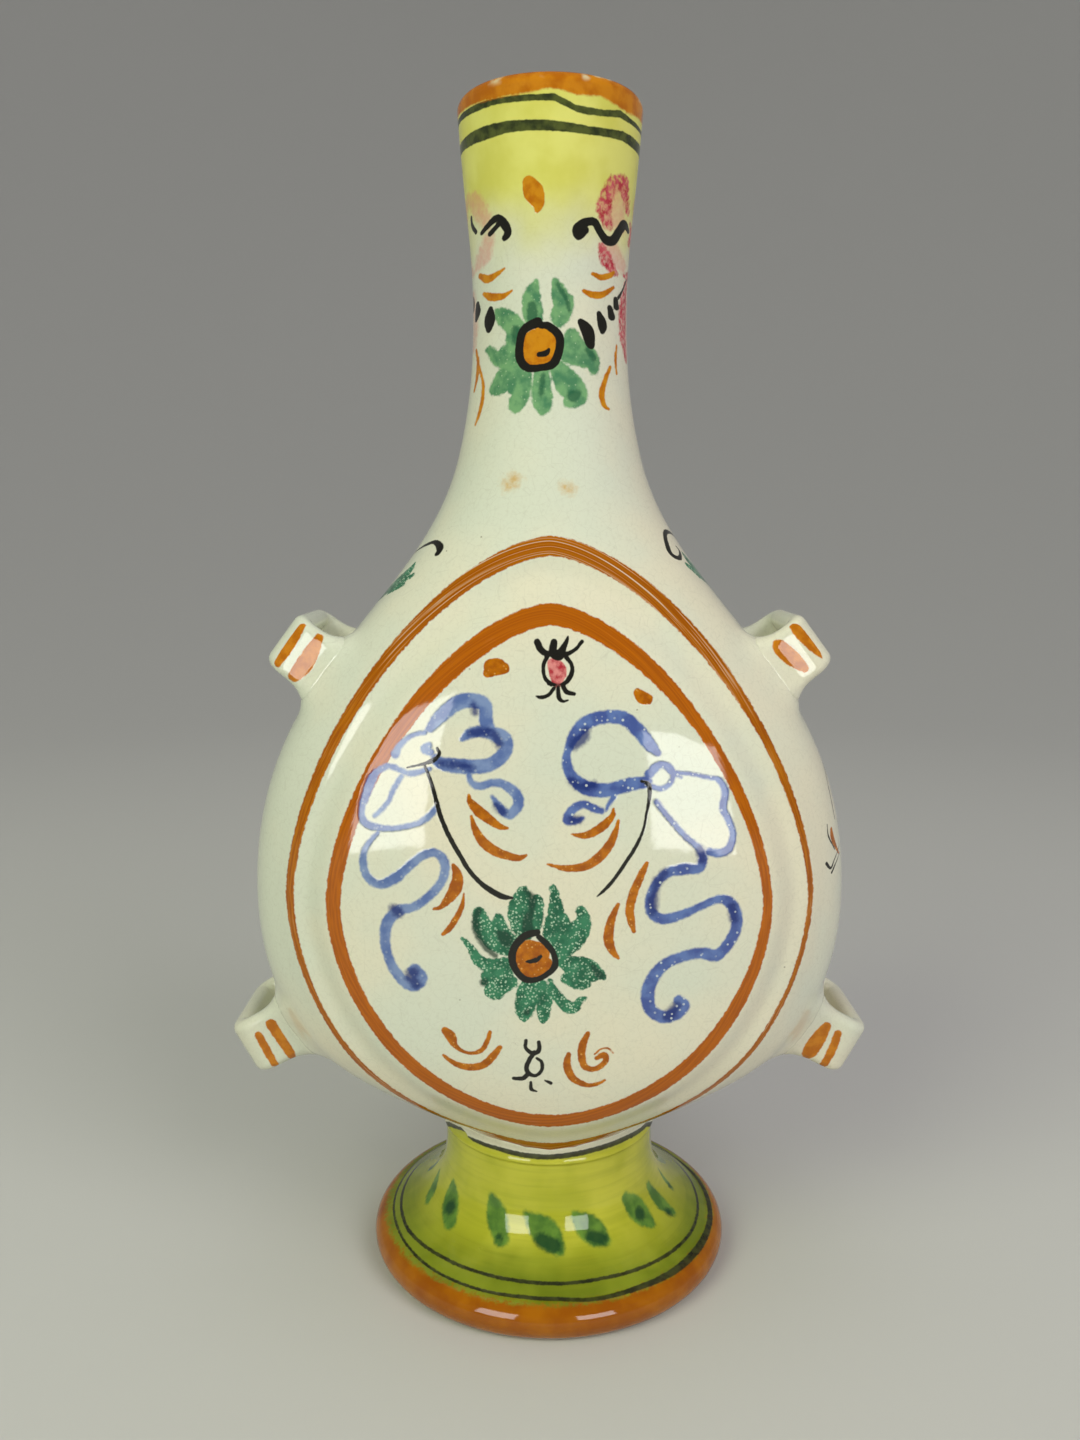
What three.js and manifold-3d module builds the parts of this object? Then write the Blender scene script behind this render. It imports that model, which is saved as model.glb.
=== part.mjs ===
// Tin-glazed pilgrim flask, used as a vase: a flat egg-shaped body pressed in two half shells, a thrown neck,
// a thrown flaring foot and four strap lugs for a carrying cord, all luted together before firing.
// Millimetres, +Z up, front towards -Y. The foot stands on z = 0 and the neck's axis is the Z axis.
import * as THREE from "three";
import { mergeVertices } from "three/addons/utils/BufferGeometryUtils.js";
import Module from "manifold-3d";

const wasm = await Module();
wasm.setup();

// Heights, stacked from the table up
const FOOT_HEIGHT = 28.3; // table to the underside of the body
const BELLY_RISE = 51.7; // underside of the body to its widest level
const SHOULDER_RISE = 86; // widest level to the collar, where the neck is luted on
const NECK_LENGTH = 65; // collar to lip
const NECK_WAIST_RISE = 28; // collar to the narrowest place of the neck

// Body
const BELLY_WIDTH = 118.6;
const BELLY_DEPTH = 62.6; // without the raised medallions
const BODY_WALL = 4.5;
const BELLY_SQUARENESS = 2.9; // exponent of the plan section: 2 is an ellipse, more is squarer
const BOTTOM_SQUARENESS = 1.42; // under 2 draws the underside to a soft keel
const SQUARE_RISE = 28.4; // height above the underside where the full squareness is reached
const COLLAR_RADIUS = 17.9;
const COLLAR_TAPER = 0.25; // radius lost for each millimetre of height at the collar

// Medallion on front and back: a low dome in an egg-shaped ring, with a crest round it
const CREST_WIDTH = 98;
const CREST_LIFT = 4; // the crest's widest level above the belly's
const CREST_TOP = 65; // crest's apex above its widest level
const CREST_BOTTOM = 52; // crest's lowest point below its widest level
const CREST_TOP_POINT = 1.6; // exponent of the upper outline: under 2 comes to a soft point
const CREST_BOTTOM_POINT = 1.85;
const CREST_RAISE = 0.7;
const CREST_SPREAD = 2.4;
const DOME_RAISE = 1.8;
const DOME_INSET = 8; // crest to the shoulder of the dome
const VALLEY_INSET = 3; // crest to the foot of the dome's slope

// Neck
const NECK_RADIUS = 14.85;
const LIP_RADIUS = 17.5;
const LIP_TAPER = 0.07;
const NECK_WALL = 4;

// Foot
const FOOT_RADIUS = 37.6;
const FOOT_ROLL = 3.7; // radius of the rolled rim
const FOOT_RING = 5; // width of the flat ring that it stands on
const STEM_RADIUS = 22;
const STEM_FLARE = 24; // height where the stem starts to flare
const FOOT_WALL = 4.8;

// Strap lugs
const LUG_SPAN = 26; // front to back
const LUG_WIDTH = 11.6; // along the body's outline
const LUG_WALL = 3.8;
const LUG_CORNER = 5;
const LUG_EDGE = 1.4; // rounding of the strap's edges
const LUG_ROOT = 9; // length of leg on hand for fitting to the body
const UPPER_LUG_RISE = 45.5; // above the belly's widest level
const UPPER_LUG_TILT = 37; // degrees above level
const UPPER_LUG_REACH = 10.1;
const LOWER_LUG_DROP = 27.5; // below the belly's widest level
const LOWER_LUG_TILT = 28.5; // degrees below level
const LOWER_LUG_REACH = 12.2;

const SEAT_GAP = 0.3; // slip in the joints of the foot and the lugs

// How far the handles of each outline reach, as shares of its rise or its half width
const WIDTH_HANDLES = { side: 0.584, bottom: 0.635, belly: 0.525, collar: 0.34 };
const DEPTH_HANDLES = { side: 0.93, bottom: 0.84, belly: 0.25, collar: 0.58 };
const NECK_HANDLES = { collar: 0.42, waist: 0.25, flare: 0.3, lip: 0.5 };
const SKIRT_HANDLES = { edge: 0.45, slope: 0.2, stem: 0.65 };
const BORE_HANDLES = { stem: 0.45, edge: 0.35 };

// Facets
const FINE = { under: 12, over: 22, around: 64 };
const COARSE = { under: 8, over: 12, around: 36 };
const TURNED_SIDES = 36;
const CURVE_STEPS = 5;

const CREAM = 0xeae6d6;
const YELLOW_GREEN = 0xc3bf45;

const BELLY_LEVEL = FOOT_HEIGHT + BELLY_RISE;
const COLLAR_LEVEL = BELLY_LEVEL + SHOULDER_RISE;
const LIP_LEVEL = COLLAR_LEVEL + NECK_LENGTH;
const { smoothstep, degToRad } = THREE.MathUtils;

// Outline curve from one radius and height to another, with a handle at each end.
function outline(start, startHandle, endHandle, end) {
  const corners = [start, startHandle, endHandle, end].map(([r, z]) => new THREE.Vector2(r, z));
  return new THREE.CubicBezierCurve(...corners);
}

// Outline of the body from its widest level: a quarter arc under it and a swan-necked line over it.
function bodyCurves(half, handles) {
  const collarHandle = handles.collar * SHOULDER_RISE;
  return {
    under: outline(
      [half, BELLY_LEVEL],
      [half, BELLY_LEVEL - handles.side * BELLY_RISE],
      [half * handles.bottom, FOOT_HEIGHT],
      [0, FOOT_HEIGHT],
    ),
    over: outline(
      [half, BELLY_LEVEL],
      [half, BELLY_LEVEL + handles.belly * SHOULDER_RISE],
      [COLLAR_RADIUS + COLLAR_TAPER * collarHandle, COLLAR_LEVEL - collarHandle],
      [COLLAR_RADIUS, COLLAR_LEVEL],
    ),
  };
}

const WIDTH_CURVES = bodyCurves(BELLY_WIDTH / 2, WIDTH_HANDLES);
const DEPTH_CURVES = bodyCurves(BELLY_DEPTH / 2, DEPTH_HANDLES);

// The point of an outline, found by halving, where a test that holds at its start stops holding.
function pointWhere(curve, holds) {
  let low = 0;
  let high = 1;
  for (let step = 0; step < 40; step++) {
    const middle = (low + high) / 2;
    if (holds(curve.getPoint(middle))) low = middle;
    else high = middle;
  }
  return curve.getPoint(low);
}

function radiusAt(curves, height) {
  if (height > BELLY_LEVEL) return pointWhere(curves.over, (p) => p.y < height).x;
  return pointWhere(curves.under, (p) => p.y > height).x;
}

function squarenessAt(height) {
  const low = 1 - smoothstep(height, FOOT_HEIGHT, FOOT_HEIGHT + SQUARE_RISE);
  const high = smoothstep(height, BELLY_LEVEL + SHOULDER_RISE / 3, COLLAR_LEVEL);
  return BELLY_SQUARENESS - (BELLY_SQUARENESS - BOTTOM_SQUARENESS) * low - (BELLY_SQUARENESS - 2) * high;
}

// Distance outside the crest's egg-shaped outline, negative inside it.
function fromCrest(x, height) {
  const rise = height - BELLY_LEVEL - CREST_LIFT;
  const point = rise > 0 ? CREST_TOP_POINT : CREST_BOTTOM_POINT;
  const across = Math.abs(x) / (CREST_WIDTH / 2);
  const along = Math.abs(rise) / (rise > 0 ? CREST_TOP : CREST_BOTTOM);
  return ((across ** point + along ** point) ** (1 / point) - 1) * (CREST_WIDTH / 2);
}

function medallionRaise(x, height) {
  const outside = fromCrest(x, height);
  const dome = 1 - smoothstep(outside, -DOME_INSET, -VALLEY_INSET);
  const crest = Math.exp(-((outside / CREST_SPREAD) ** 2));
  return DOME_RAISE * dome + CREST_RAISE * crest;
}

// A closed surface from rings of points, bottom pole first; both ends are closed with a fan.
function ringSurface(bottom, rings, top) {
  const around = rings[0].length;
  const points = [bottom, ...rings.flat(), top];
  const faces = [];
  const at = (ring, step) => 1 + ring * around + (step % around);
  for (let step = 0; step < around; step++) {
    faces.push(0, at(0, step + 1), at(0, step));
    for (let ring = 0; ring + 1 < rings.length; ring++) {
      faces.push(at(ring, step), at(ring, step + 1), at(ring + 1, step + 1));
      faces.push(at(ring, step), at(ring + 1, step + 1), at(ring + 1, step));
    }
    faces.push(at(rings.length - 1, step), at(rings.length - 1, step + 1), points.length - 1);
  }
  return new THREE.BufferGeometry().setFromPoints(points).setIndex(faces);
}

// One level plan section of the body, a superellipse with the medallions raised on its two broad sides.
function bodyRing(height, around) {
  const halfWidth = radiusAt(WIDTH_CURVES, height);
  const halfDepth = radiusAt(DEPTH_CURVES, height);
  const power = 2 / squarenessAt(height);
  const bend = (share) => Math.sign(share) * Math.abs(share) ** power;
  return Array.from({ length: around }, (_, step) => {
    const angle = (step / around) * 2 * Math.PI;
    const x = bend(Math.cos(angle)) * halfWidth;
    const y = bend(Math.sin(angle)) * halfDepth;
    const fade = smoothstep(Math.abs(y), 0, COLLAR_RADIUS);
    return new THREE.Vector3(x, y + Math.sign(y) * fade * medallionRaise(x, height), height);
  });
}

// The body's skin, closed, with a straight stub above the collar. grow moves it out, or in where it is negative.
function bodySkin({ under, over, around }, grow) {
  const rings = [];
  for (let i = 1; i <= under; i++) {
    const share = Math.cos(((i / under) * Math.PI) / 2);
    rings.push(bodyRing(BELLY_LEVEL - BELLY_RISE * share, around));
  }
  for (let i = 1; i <= over; i++) {
    rings.push(bodyRing(BELLY_LEVEL + (SHOULDER_RISE * i) / over, around));
  }
  const stub = rings.at(-1).map((p) => new THREE.Vector3(p.x, p.y, COLLAR_LEVEL + BODY_WALL));
  const bottom = new THREE.Vector3(0, 0, FOOT_HEIGHT);
  const top = new THREE.Vector3(0, 0, COLLAR_LEVEL + BODY_WALL);
  const skin = ringSurface(bottom, [...rings, stub], top);
  skin.computeVertexNormals();
  const place = skin.getAttribute("position");
  const normal = skin.getAttribute("normal");
  for (let i = 0; i < place.count; i++) {
    place.setXYZ(
      i,
      place.getX(i) + grow * normal.getX(i),
      place.getY(i) + grow * normal.getY(i),
      place.getZ(i) + grow * normal.getZ(i),
    );
  }
  return skin;
}

function solidOf(geometry) {
  const bare = geometry.clone();
  bare.deleteAttribute("normal");
  bare.deleteAttribute("uv");
  const merged = mergeVertices(bare, 1e-4);
  const vertProperties = new Float32Array(merged.getAttribute("position").array);
  const triVerts = new Uint32Array(merged.index.array);
  return new wasm.Manifold(new wasm.Mesh({ numProp: 3, vertProperties, triVerts }));
}

function geometryOf(solid) {
  const { vertProperties, triVerts } = solid.getMesh();
  const geometry = new THREE.BufferGeometry();
  geometry.setAttribute("position", new THREE.BufferAttribute(vertProperties, 3));
  geometry.setIndex(new THREE.BufferAttribute(triVerts, 1));
  geometry.computeVertexNormals();
  return geometry;
}

// A turned piece from its outline of radius and height, which runs up the outside and closes on itself.
function turned(points) {
  return new THREE.LatheGeometry([...points, points[0]], TURNED_SIDES).rotateX(Math.PI / 2);
}

// One half of the shell: the skin less the hollow, on one side of the seam at y = 0, cut level at the collar.
function halfShell(side) {
  const reach = BELLY_WIDTH + BELLY_DEPTH;
  const half = new THREE.BoxGeometry(2 * reach, reach, 2 * COLLAR_LEVEL);
  half.translate(0, (side * reach) / 2, 0);
  const skin = bodySkin(FINE, 0);
  const hollow = bodySkin(COARSE, -BODY_WALL);
  return geometryOf(solidOf(skin).subtract(solidOf(hollow)).intersect(solidOf(half)));
}

function neckGeometry() {
  const waist = COLLAR_LEVEL + NECK_WAIST_RISE;
  const flare = NECK_LENGTH - NECK_WAIST_RISE;
  const lip = NECK_WALL / 2;
  const rim = LIP_LEVEL - lip;
  // The swelling line of the neck, moved in by a wall for the bore.
  const line = (path, inset, wall) => {
    const low = NECK_HANDLES.collar * NECK_WAIST_RISE;
    const high = NECK_HANDLES.lip * flare;
    path.bezierCurveTo(
      COLLAR_RADIUS - wall - COLLAR_TAPER * low, COLLAR_LEVEL + low,
      NECK_RADIUS - inset, waist - NECK_HANDLES.waist * NECK_WAIST_RISE,
      NECK_RADIUS - inset, waist,
    );
    path.bezierCurveTo(
      NECK_RADIUS - inset, waist + NECK_HANDLES.flare * flare,
      LIP_RADIUS - inset - LIP_TAPER * high, rim - high,
      LIP_RADIUS - inset, rim,
    );
  };
  const outside = new THREE.Path().moveTo(COLLAR_RADIUS, COLLAR_LEVEL);
  line(outside, 0, 0);
  outside.absarc(LIP_RADIUS - lip, rim, lip, 0, Math.PI, false);
  const bore = new THREE.Path().moveTo(COLLAR_RADIUS - BODY_WALL, COLLAR_LEVEL);
  line(bore, NECK_WALL, BODY_WALL);
  return turned([...outside.getPoints(CURVE_STEPS), ...bore.getPoints(CURVE_STEPS).reverse().slice(1)]);
}

function footGeometry() {
  // The stem is left a little too tall, and cut to the saddle of the body's underside.
  const top = pointWhere(DEPTH_CURVES.under, (p) => p.x > STEM_RADIUS).y + FOOT_WALL;
  const rollRadius = FOOT_RADIUS - FOOT_ROLL;
  const rollTop = 2 * FOOT_ROLL;
  const ring = rollRadius - FOOT_RING;
  const bore = STEM_RADIUS - FOOT_WALL;
  const rise = STEM_FLARE - rollTop;
  const profile = new THREE.Path().moveTo(ring, 0);
  profile.lineTo(rollRadius, 0);
  profile.absarc(rollRadius, FOOT_ROLL, FOOT_ROLL, -Math.PI / 2, Math.PI / 2, false);
  profile.bezierCurveTo(
    rollRadius - SKIRT_HANDLES.edge * (rollRadius - STEM_RADIUS), rollTop + SKIRT_HANDLES.slope * rise,
    STEM_RADIUS, STEM_FLARE - SKIRT_HANDLES.stem * rise,
    STEM_RADIUS, STEM_FLARE,
  );
  profile.lineTo(STEM_RADIUS, top);
  profile.lineTo(bore, top);
  profile.lineTo(bore, STEM_FLARE);
  profile.bezierCurveTo(
    bore, (1 - BORE_HANDLES.stem) * STEM_FLARE,
    ring, BORE_HANDLES.edge * STEM_FLARE,
    ring, 0,
  );
  const blank = turned(profile.getPoints(CURVE_STEPS).slice(0, -1));
  return geometryOf(solidOf(blank).subtract(solidOf(bodySkin(FINE, SEAT_GAP))));
}

// Where a lug sits: on the body's outline, with its own X axis pointing out and its Z axis along the outline.
function lugPlace(height, tilt) {
  const place = new THREE.Object3D();
  place.position.set(radiusAt(WIDTH_CURVES, height), 0, height);
  place.rotation.y = -degToRad(tilt);
  place.updateMatrix();
  return place;
}

// A strap bent to a loop, with its two legs cut to the body's side.
function lugGeometry(place, reach) {
  const half = LUG_SPAN / 2;
  const inner = half - LUG_WALL;
  const innerCorner = Math.max(LUG_CORNER - LUG_WALL, LUG_EDGE) + LUG_EDGE;
  const strap = new THREE.Shape();
  strap.moveTo(-LUG_ROOT, -half);
  strap.lineTo(reach - LUG_CORNER, -half);
  strap.absarc(reach - LUG_CORNER, LUG_CORNER - half, LUG_CORNER, -Math.PI / 2, 0, false);
  strap.absarc(reach - LUG_CORNER, half - LUG_CORNER, LUG_CORNER, 0, Math.PI / 2, false);
  strap.lineTo(-LUG_ROOT, half);
  strap.lineTo(-LUG_ROOT, inner);
  const bend = reach - LUG_WALL - innerCorner;
  strap.absarc(bend, inner - innerCorner, innerCorner, Math.PI / 2, 0, true);
  strap.absarc(bend, innerCorner - inner, innerCorner, 0, -Math.PI / 2, true);
  strap.lineTo(-LUG_ROOT, -inner);
  const blank = new THREE.ExtrudeGeometry(strap, {
    depth: LUG_WIDTH - 2 * LUG_EDGE,
    curveSegments: CURVE_STEPS - 1,
    bevelThickness: LUG_EDGE,
    bevelSize: LUG_EDGE,
    bevelOffset: -LUG_EDGE,
    bevelSegments: 2,
  });
  blank.translate(0, 0, LUG_EDGE - LUG_WIDTH / 2);
  const seat = bodySkin(FINE, SEAT_GAP).applyMatrix4(place.matrix.clone().invert());
  return geometryOf(solidOf(blank).subtract(solidOf(seat)));
}

function piece(name, geometry, color) {
  const glaze = new THREE.MeshStandardMaterial({ color, roughness: 0.12, metalness: 0 });
  const mesh = new THREE.Mesh(geometry, glaze);
  mesh.name = name;
  return mesh;
}

const flask = new THREE.Group();
flask.add(piece("body_front", halfShell(-1), CREAM));
flask.add(piece("body_back", halfShell(1), CREAM));
flask.add(piece("neck", neckGeometry(), CREAM));
flask.add(piece("foot", footGeometry(), YELLOW_GREEN));

// The lugs of the left side are those of the right side turned half round.
const LUGS = [
  { level: "upper", place: lugPlace(BELLY_LEVEL + UPPER_LUG_RISE, UPPER_LUG_TILT), reach: UPPER_LUG_REACH },
  { level: "lower", place: lugPlace(BELLY_LEVEL - LOWER_LUG_DROP, -LOWER_LUG_TILT), reach: LOWER_LUG_REACH },
];
for (const side of ["right", "left"]) {
  const half = new THREE.Group();
  half.rotation.z = side === "right" ? 0 : Math.PI;
  for (const { level, place, reach } of LUGS) {
    const lug = piece(`lug_${level}_${side}`, lugGeometry(place, reach), CREAM);
    lug.position.copy(place.position);
    lug.rotation.copy(place.rotation);
    half.add(lug);
  }
  flask.add(half);
}

export default flask;
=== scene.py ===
import math

import bpy
import numpy as np
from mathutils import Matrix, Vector


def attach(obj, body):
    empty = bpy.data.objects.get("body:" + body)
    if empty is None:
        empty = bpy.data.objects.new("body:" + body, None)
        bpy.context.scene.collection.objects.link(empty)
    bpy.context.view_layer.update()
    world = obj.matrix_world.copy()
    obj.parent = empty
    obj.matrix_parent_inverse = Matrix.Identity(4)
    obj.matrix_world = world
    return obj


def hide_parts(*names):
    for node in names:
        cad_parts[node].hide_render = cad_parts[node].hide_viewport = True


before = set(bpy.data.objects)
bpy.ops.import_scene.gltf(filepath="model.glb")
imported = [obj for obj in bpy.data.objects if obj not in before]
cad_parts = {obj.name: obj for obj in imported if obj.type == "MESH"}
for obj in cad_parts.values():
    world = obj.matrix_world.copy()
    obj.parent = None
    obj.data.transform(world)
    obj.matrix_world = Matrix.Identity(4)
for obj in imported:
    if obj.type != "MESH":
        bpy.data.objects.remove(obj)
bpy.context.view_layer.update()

# Sizes of the ware in millimetres; the front faces -Y
MM = 0.001
FOOT_TOP, BELLY, COLLAR, LIP = 28.3, 80.0, 166.0, 231.0  # heights
BELLY_WIDTH, BELLY_DEPTH, BODY_WALL = 118.6, 62.6, 4.5
COLLAR_RADIUS, COLLAR_TAPER = 17.9, 0.25
NECK_WAIST, NECK_RADIUS, NECK_WALL = 194.0, 14.85, 4.0
LIP_RADIUS, LIP_TAPER = 17.5, 0.07
FOOT_RADIUS, FOOT_ROLL, FOOT_RING, FOOT_WALL = 37.6, 3.7, 5.0, 4.8
STEM_RADIUS, STEM_FLARE, STEM_TOP = 22.0, 24.0, 36.0
LUG_WIDTH, LUG_WALL, LUG_SPAN, LUG_CORNER, LUG_EDGE = 11.6, 3.8, 26.0, 5.0, 1.7
LUG_ROOT, LUG_END = 5.0, 8.0  # how far inside the body the straps are built, and counted
LUG_SLIP, FOOT_SLIP = 6.0, 2.6  # how far the slip fillets reach
SADDLE_LOW, SADDLE_HIGH, SADDLE_WIDE = 20.0, 45.0, 30.0  # where the foot's fillet is looked for

# Power of the body's plan sections: 2 is an ellipse, more is squarer, less comes to a keel
SQUARENESS, BOTTOM_LOSS, COLLAR_LOSS = 2.9, 1.48, 0.9
SQUARE_RISE = 28.4  # height over which the underside gets its full squareness

# Medallions: an egg-shaped crest round a valley and a low dome
CREST_LEVEL, CREST_HALF, CREST_TOP, CREST_BOTTOM = 84.0, 49.0, 65.0, 52.0
TOP_POWER, BOTTOM_POWER = 1.6, 1.85  # less than 2 comes to a soft point
CREST_RAISE, CREST_SPREAD = 0.7, 2.4
DOME_RAISE, DOME_INSET, VALLEY_INSET = 1.8, 8.0, 3.0

# How finely the pieces are cut: steps round the Z axis and lengths of faces
SKIN_STEPS, SKIN_SPACING = 440, 0.92
LINING_STEPS, LINING_SPACING = 80, 1.8
WHEEL_STEPS, NECK_SPACING, BORE_SPACING, FOOT_SPACING = 300, 0.33, 2.0, 0.36
STRAP_SPACING, EDGE_STEPS, BEND_STEPS = 0.35, 8, 10
RIM_STEPS, LIP_STEPS, HOLLOW_STEPS = 16, 14, 16
STROKE_EDGES = (0.45, 0.12)  # the skin is cut finer this near to the strokes' edges
WELD = 0.01  # points nearer than this are joined

# Where the brushwork lies
SIDE_DEPTH, SIDE_START = 24.0, 18.0  # the narrow sides: depth from the seam, width from the middle
LOWEST_STROKE, SEAM_STRIP = 40.0, 10.0
RING_DEPTH, INNER_LEVEL = 6.0, 0.815  # depth that the rings keep to, and the inner one's level
SKIN_DEPTH = 1.5  # anything deeper is the inside of the body
NECK_MEAN, FOOT_MEAN = 16.0, 25.0  # radii that the neck and the foot are unrolled at
NECK_SEEN = 60.0  # degrees of the neck, to either side, that are seen well from the front
BORE_PAINT = 226.2  # height down to which the lip's colour runs inside
RIM_PAINT = 7.1  # height up to which the rim's colour runs
LUG_BARE, LUG_PAINTED = 2.2, 0.8  # depths under a strap's front where its colour is gone, and full
BRUSH_REACH, FAR_OFF = 4.0, -9.0  # how far round a stroke depths are worked out, and the depth beyond
BARE = 60.0  # taken off the depth of the strokes where no colour may be

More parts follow.
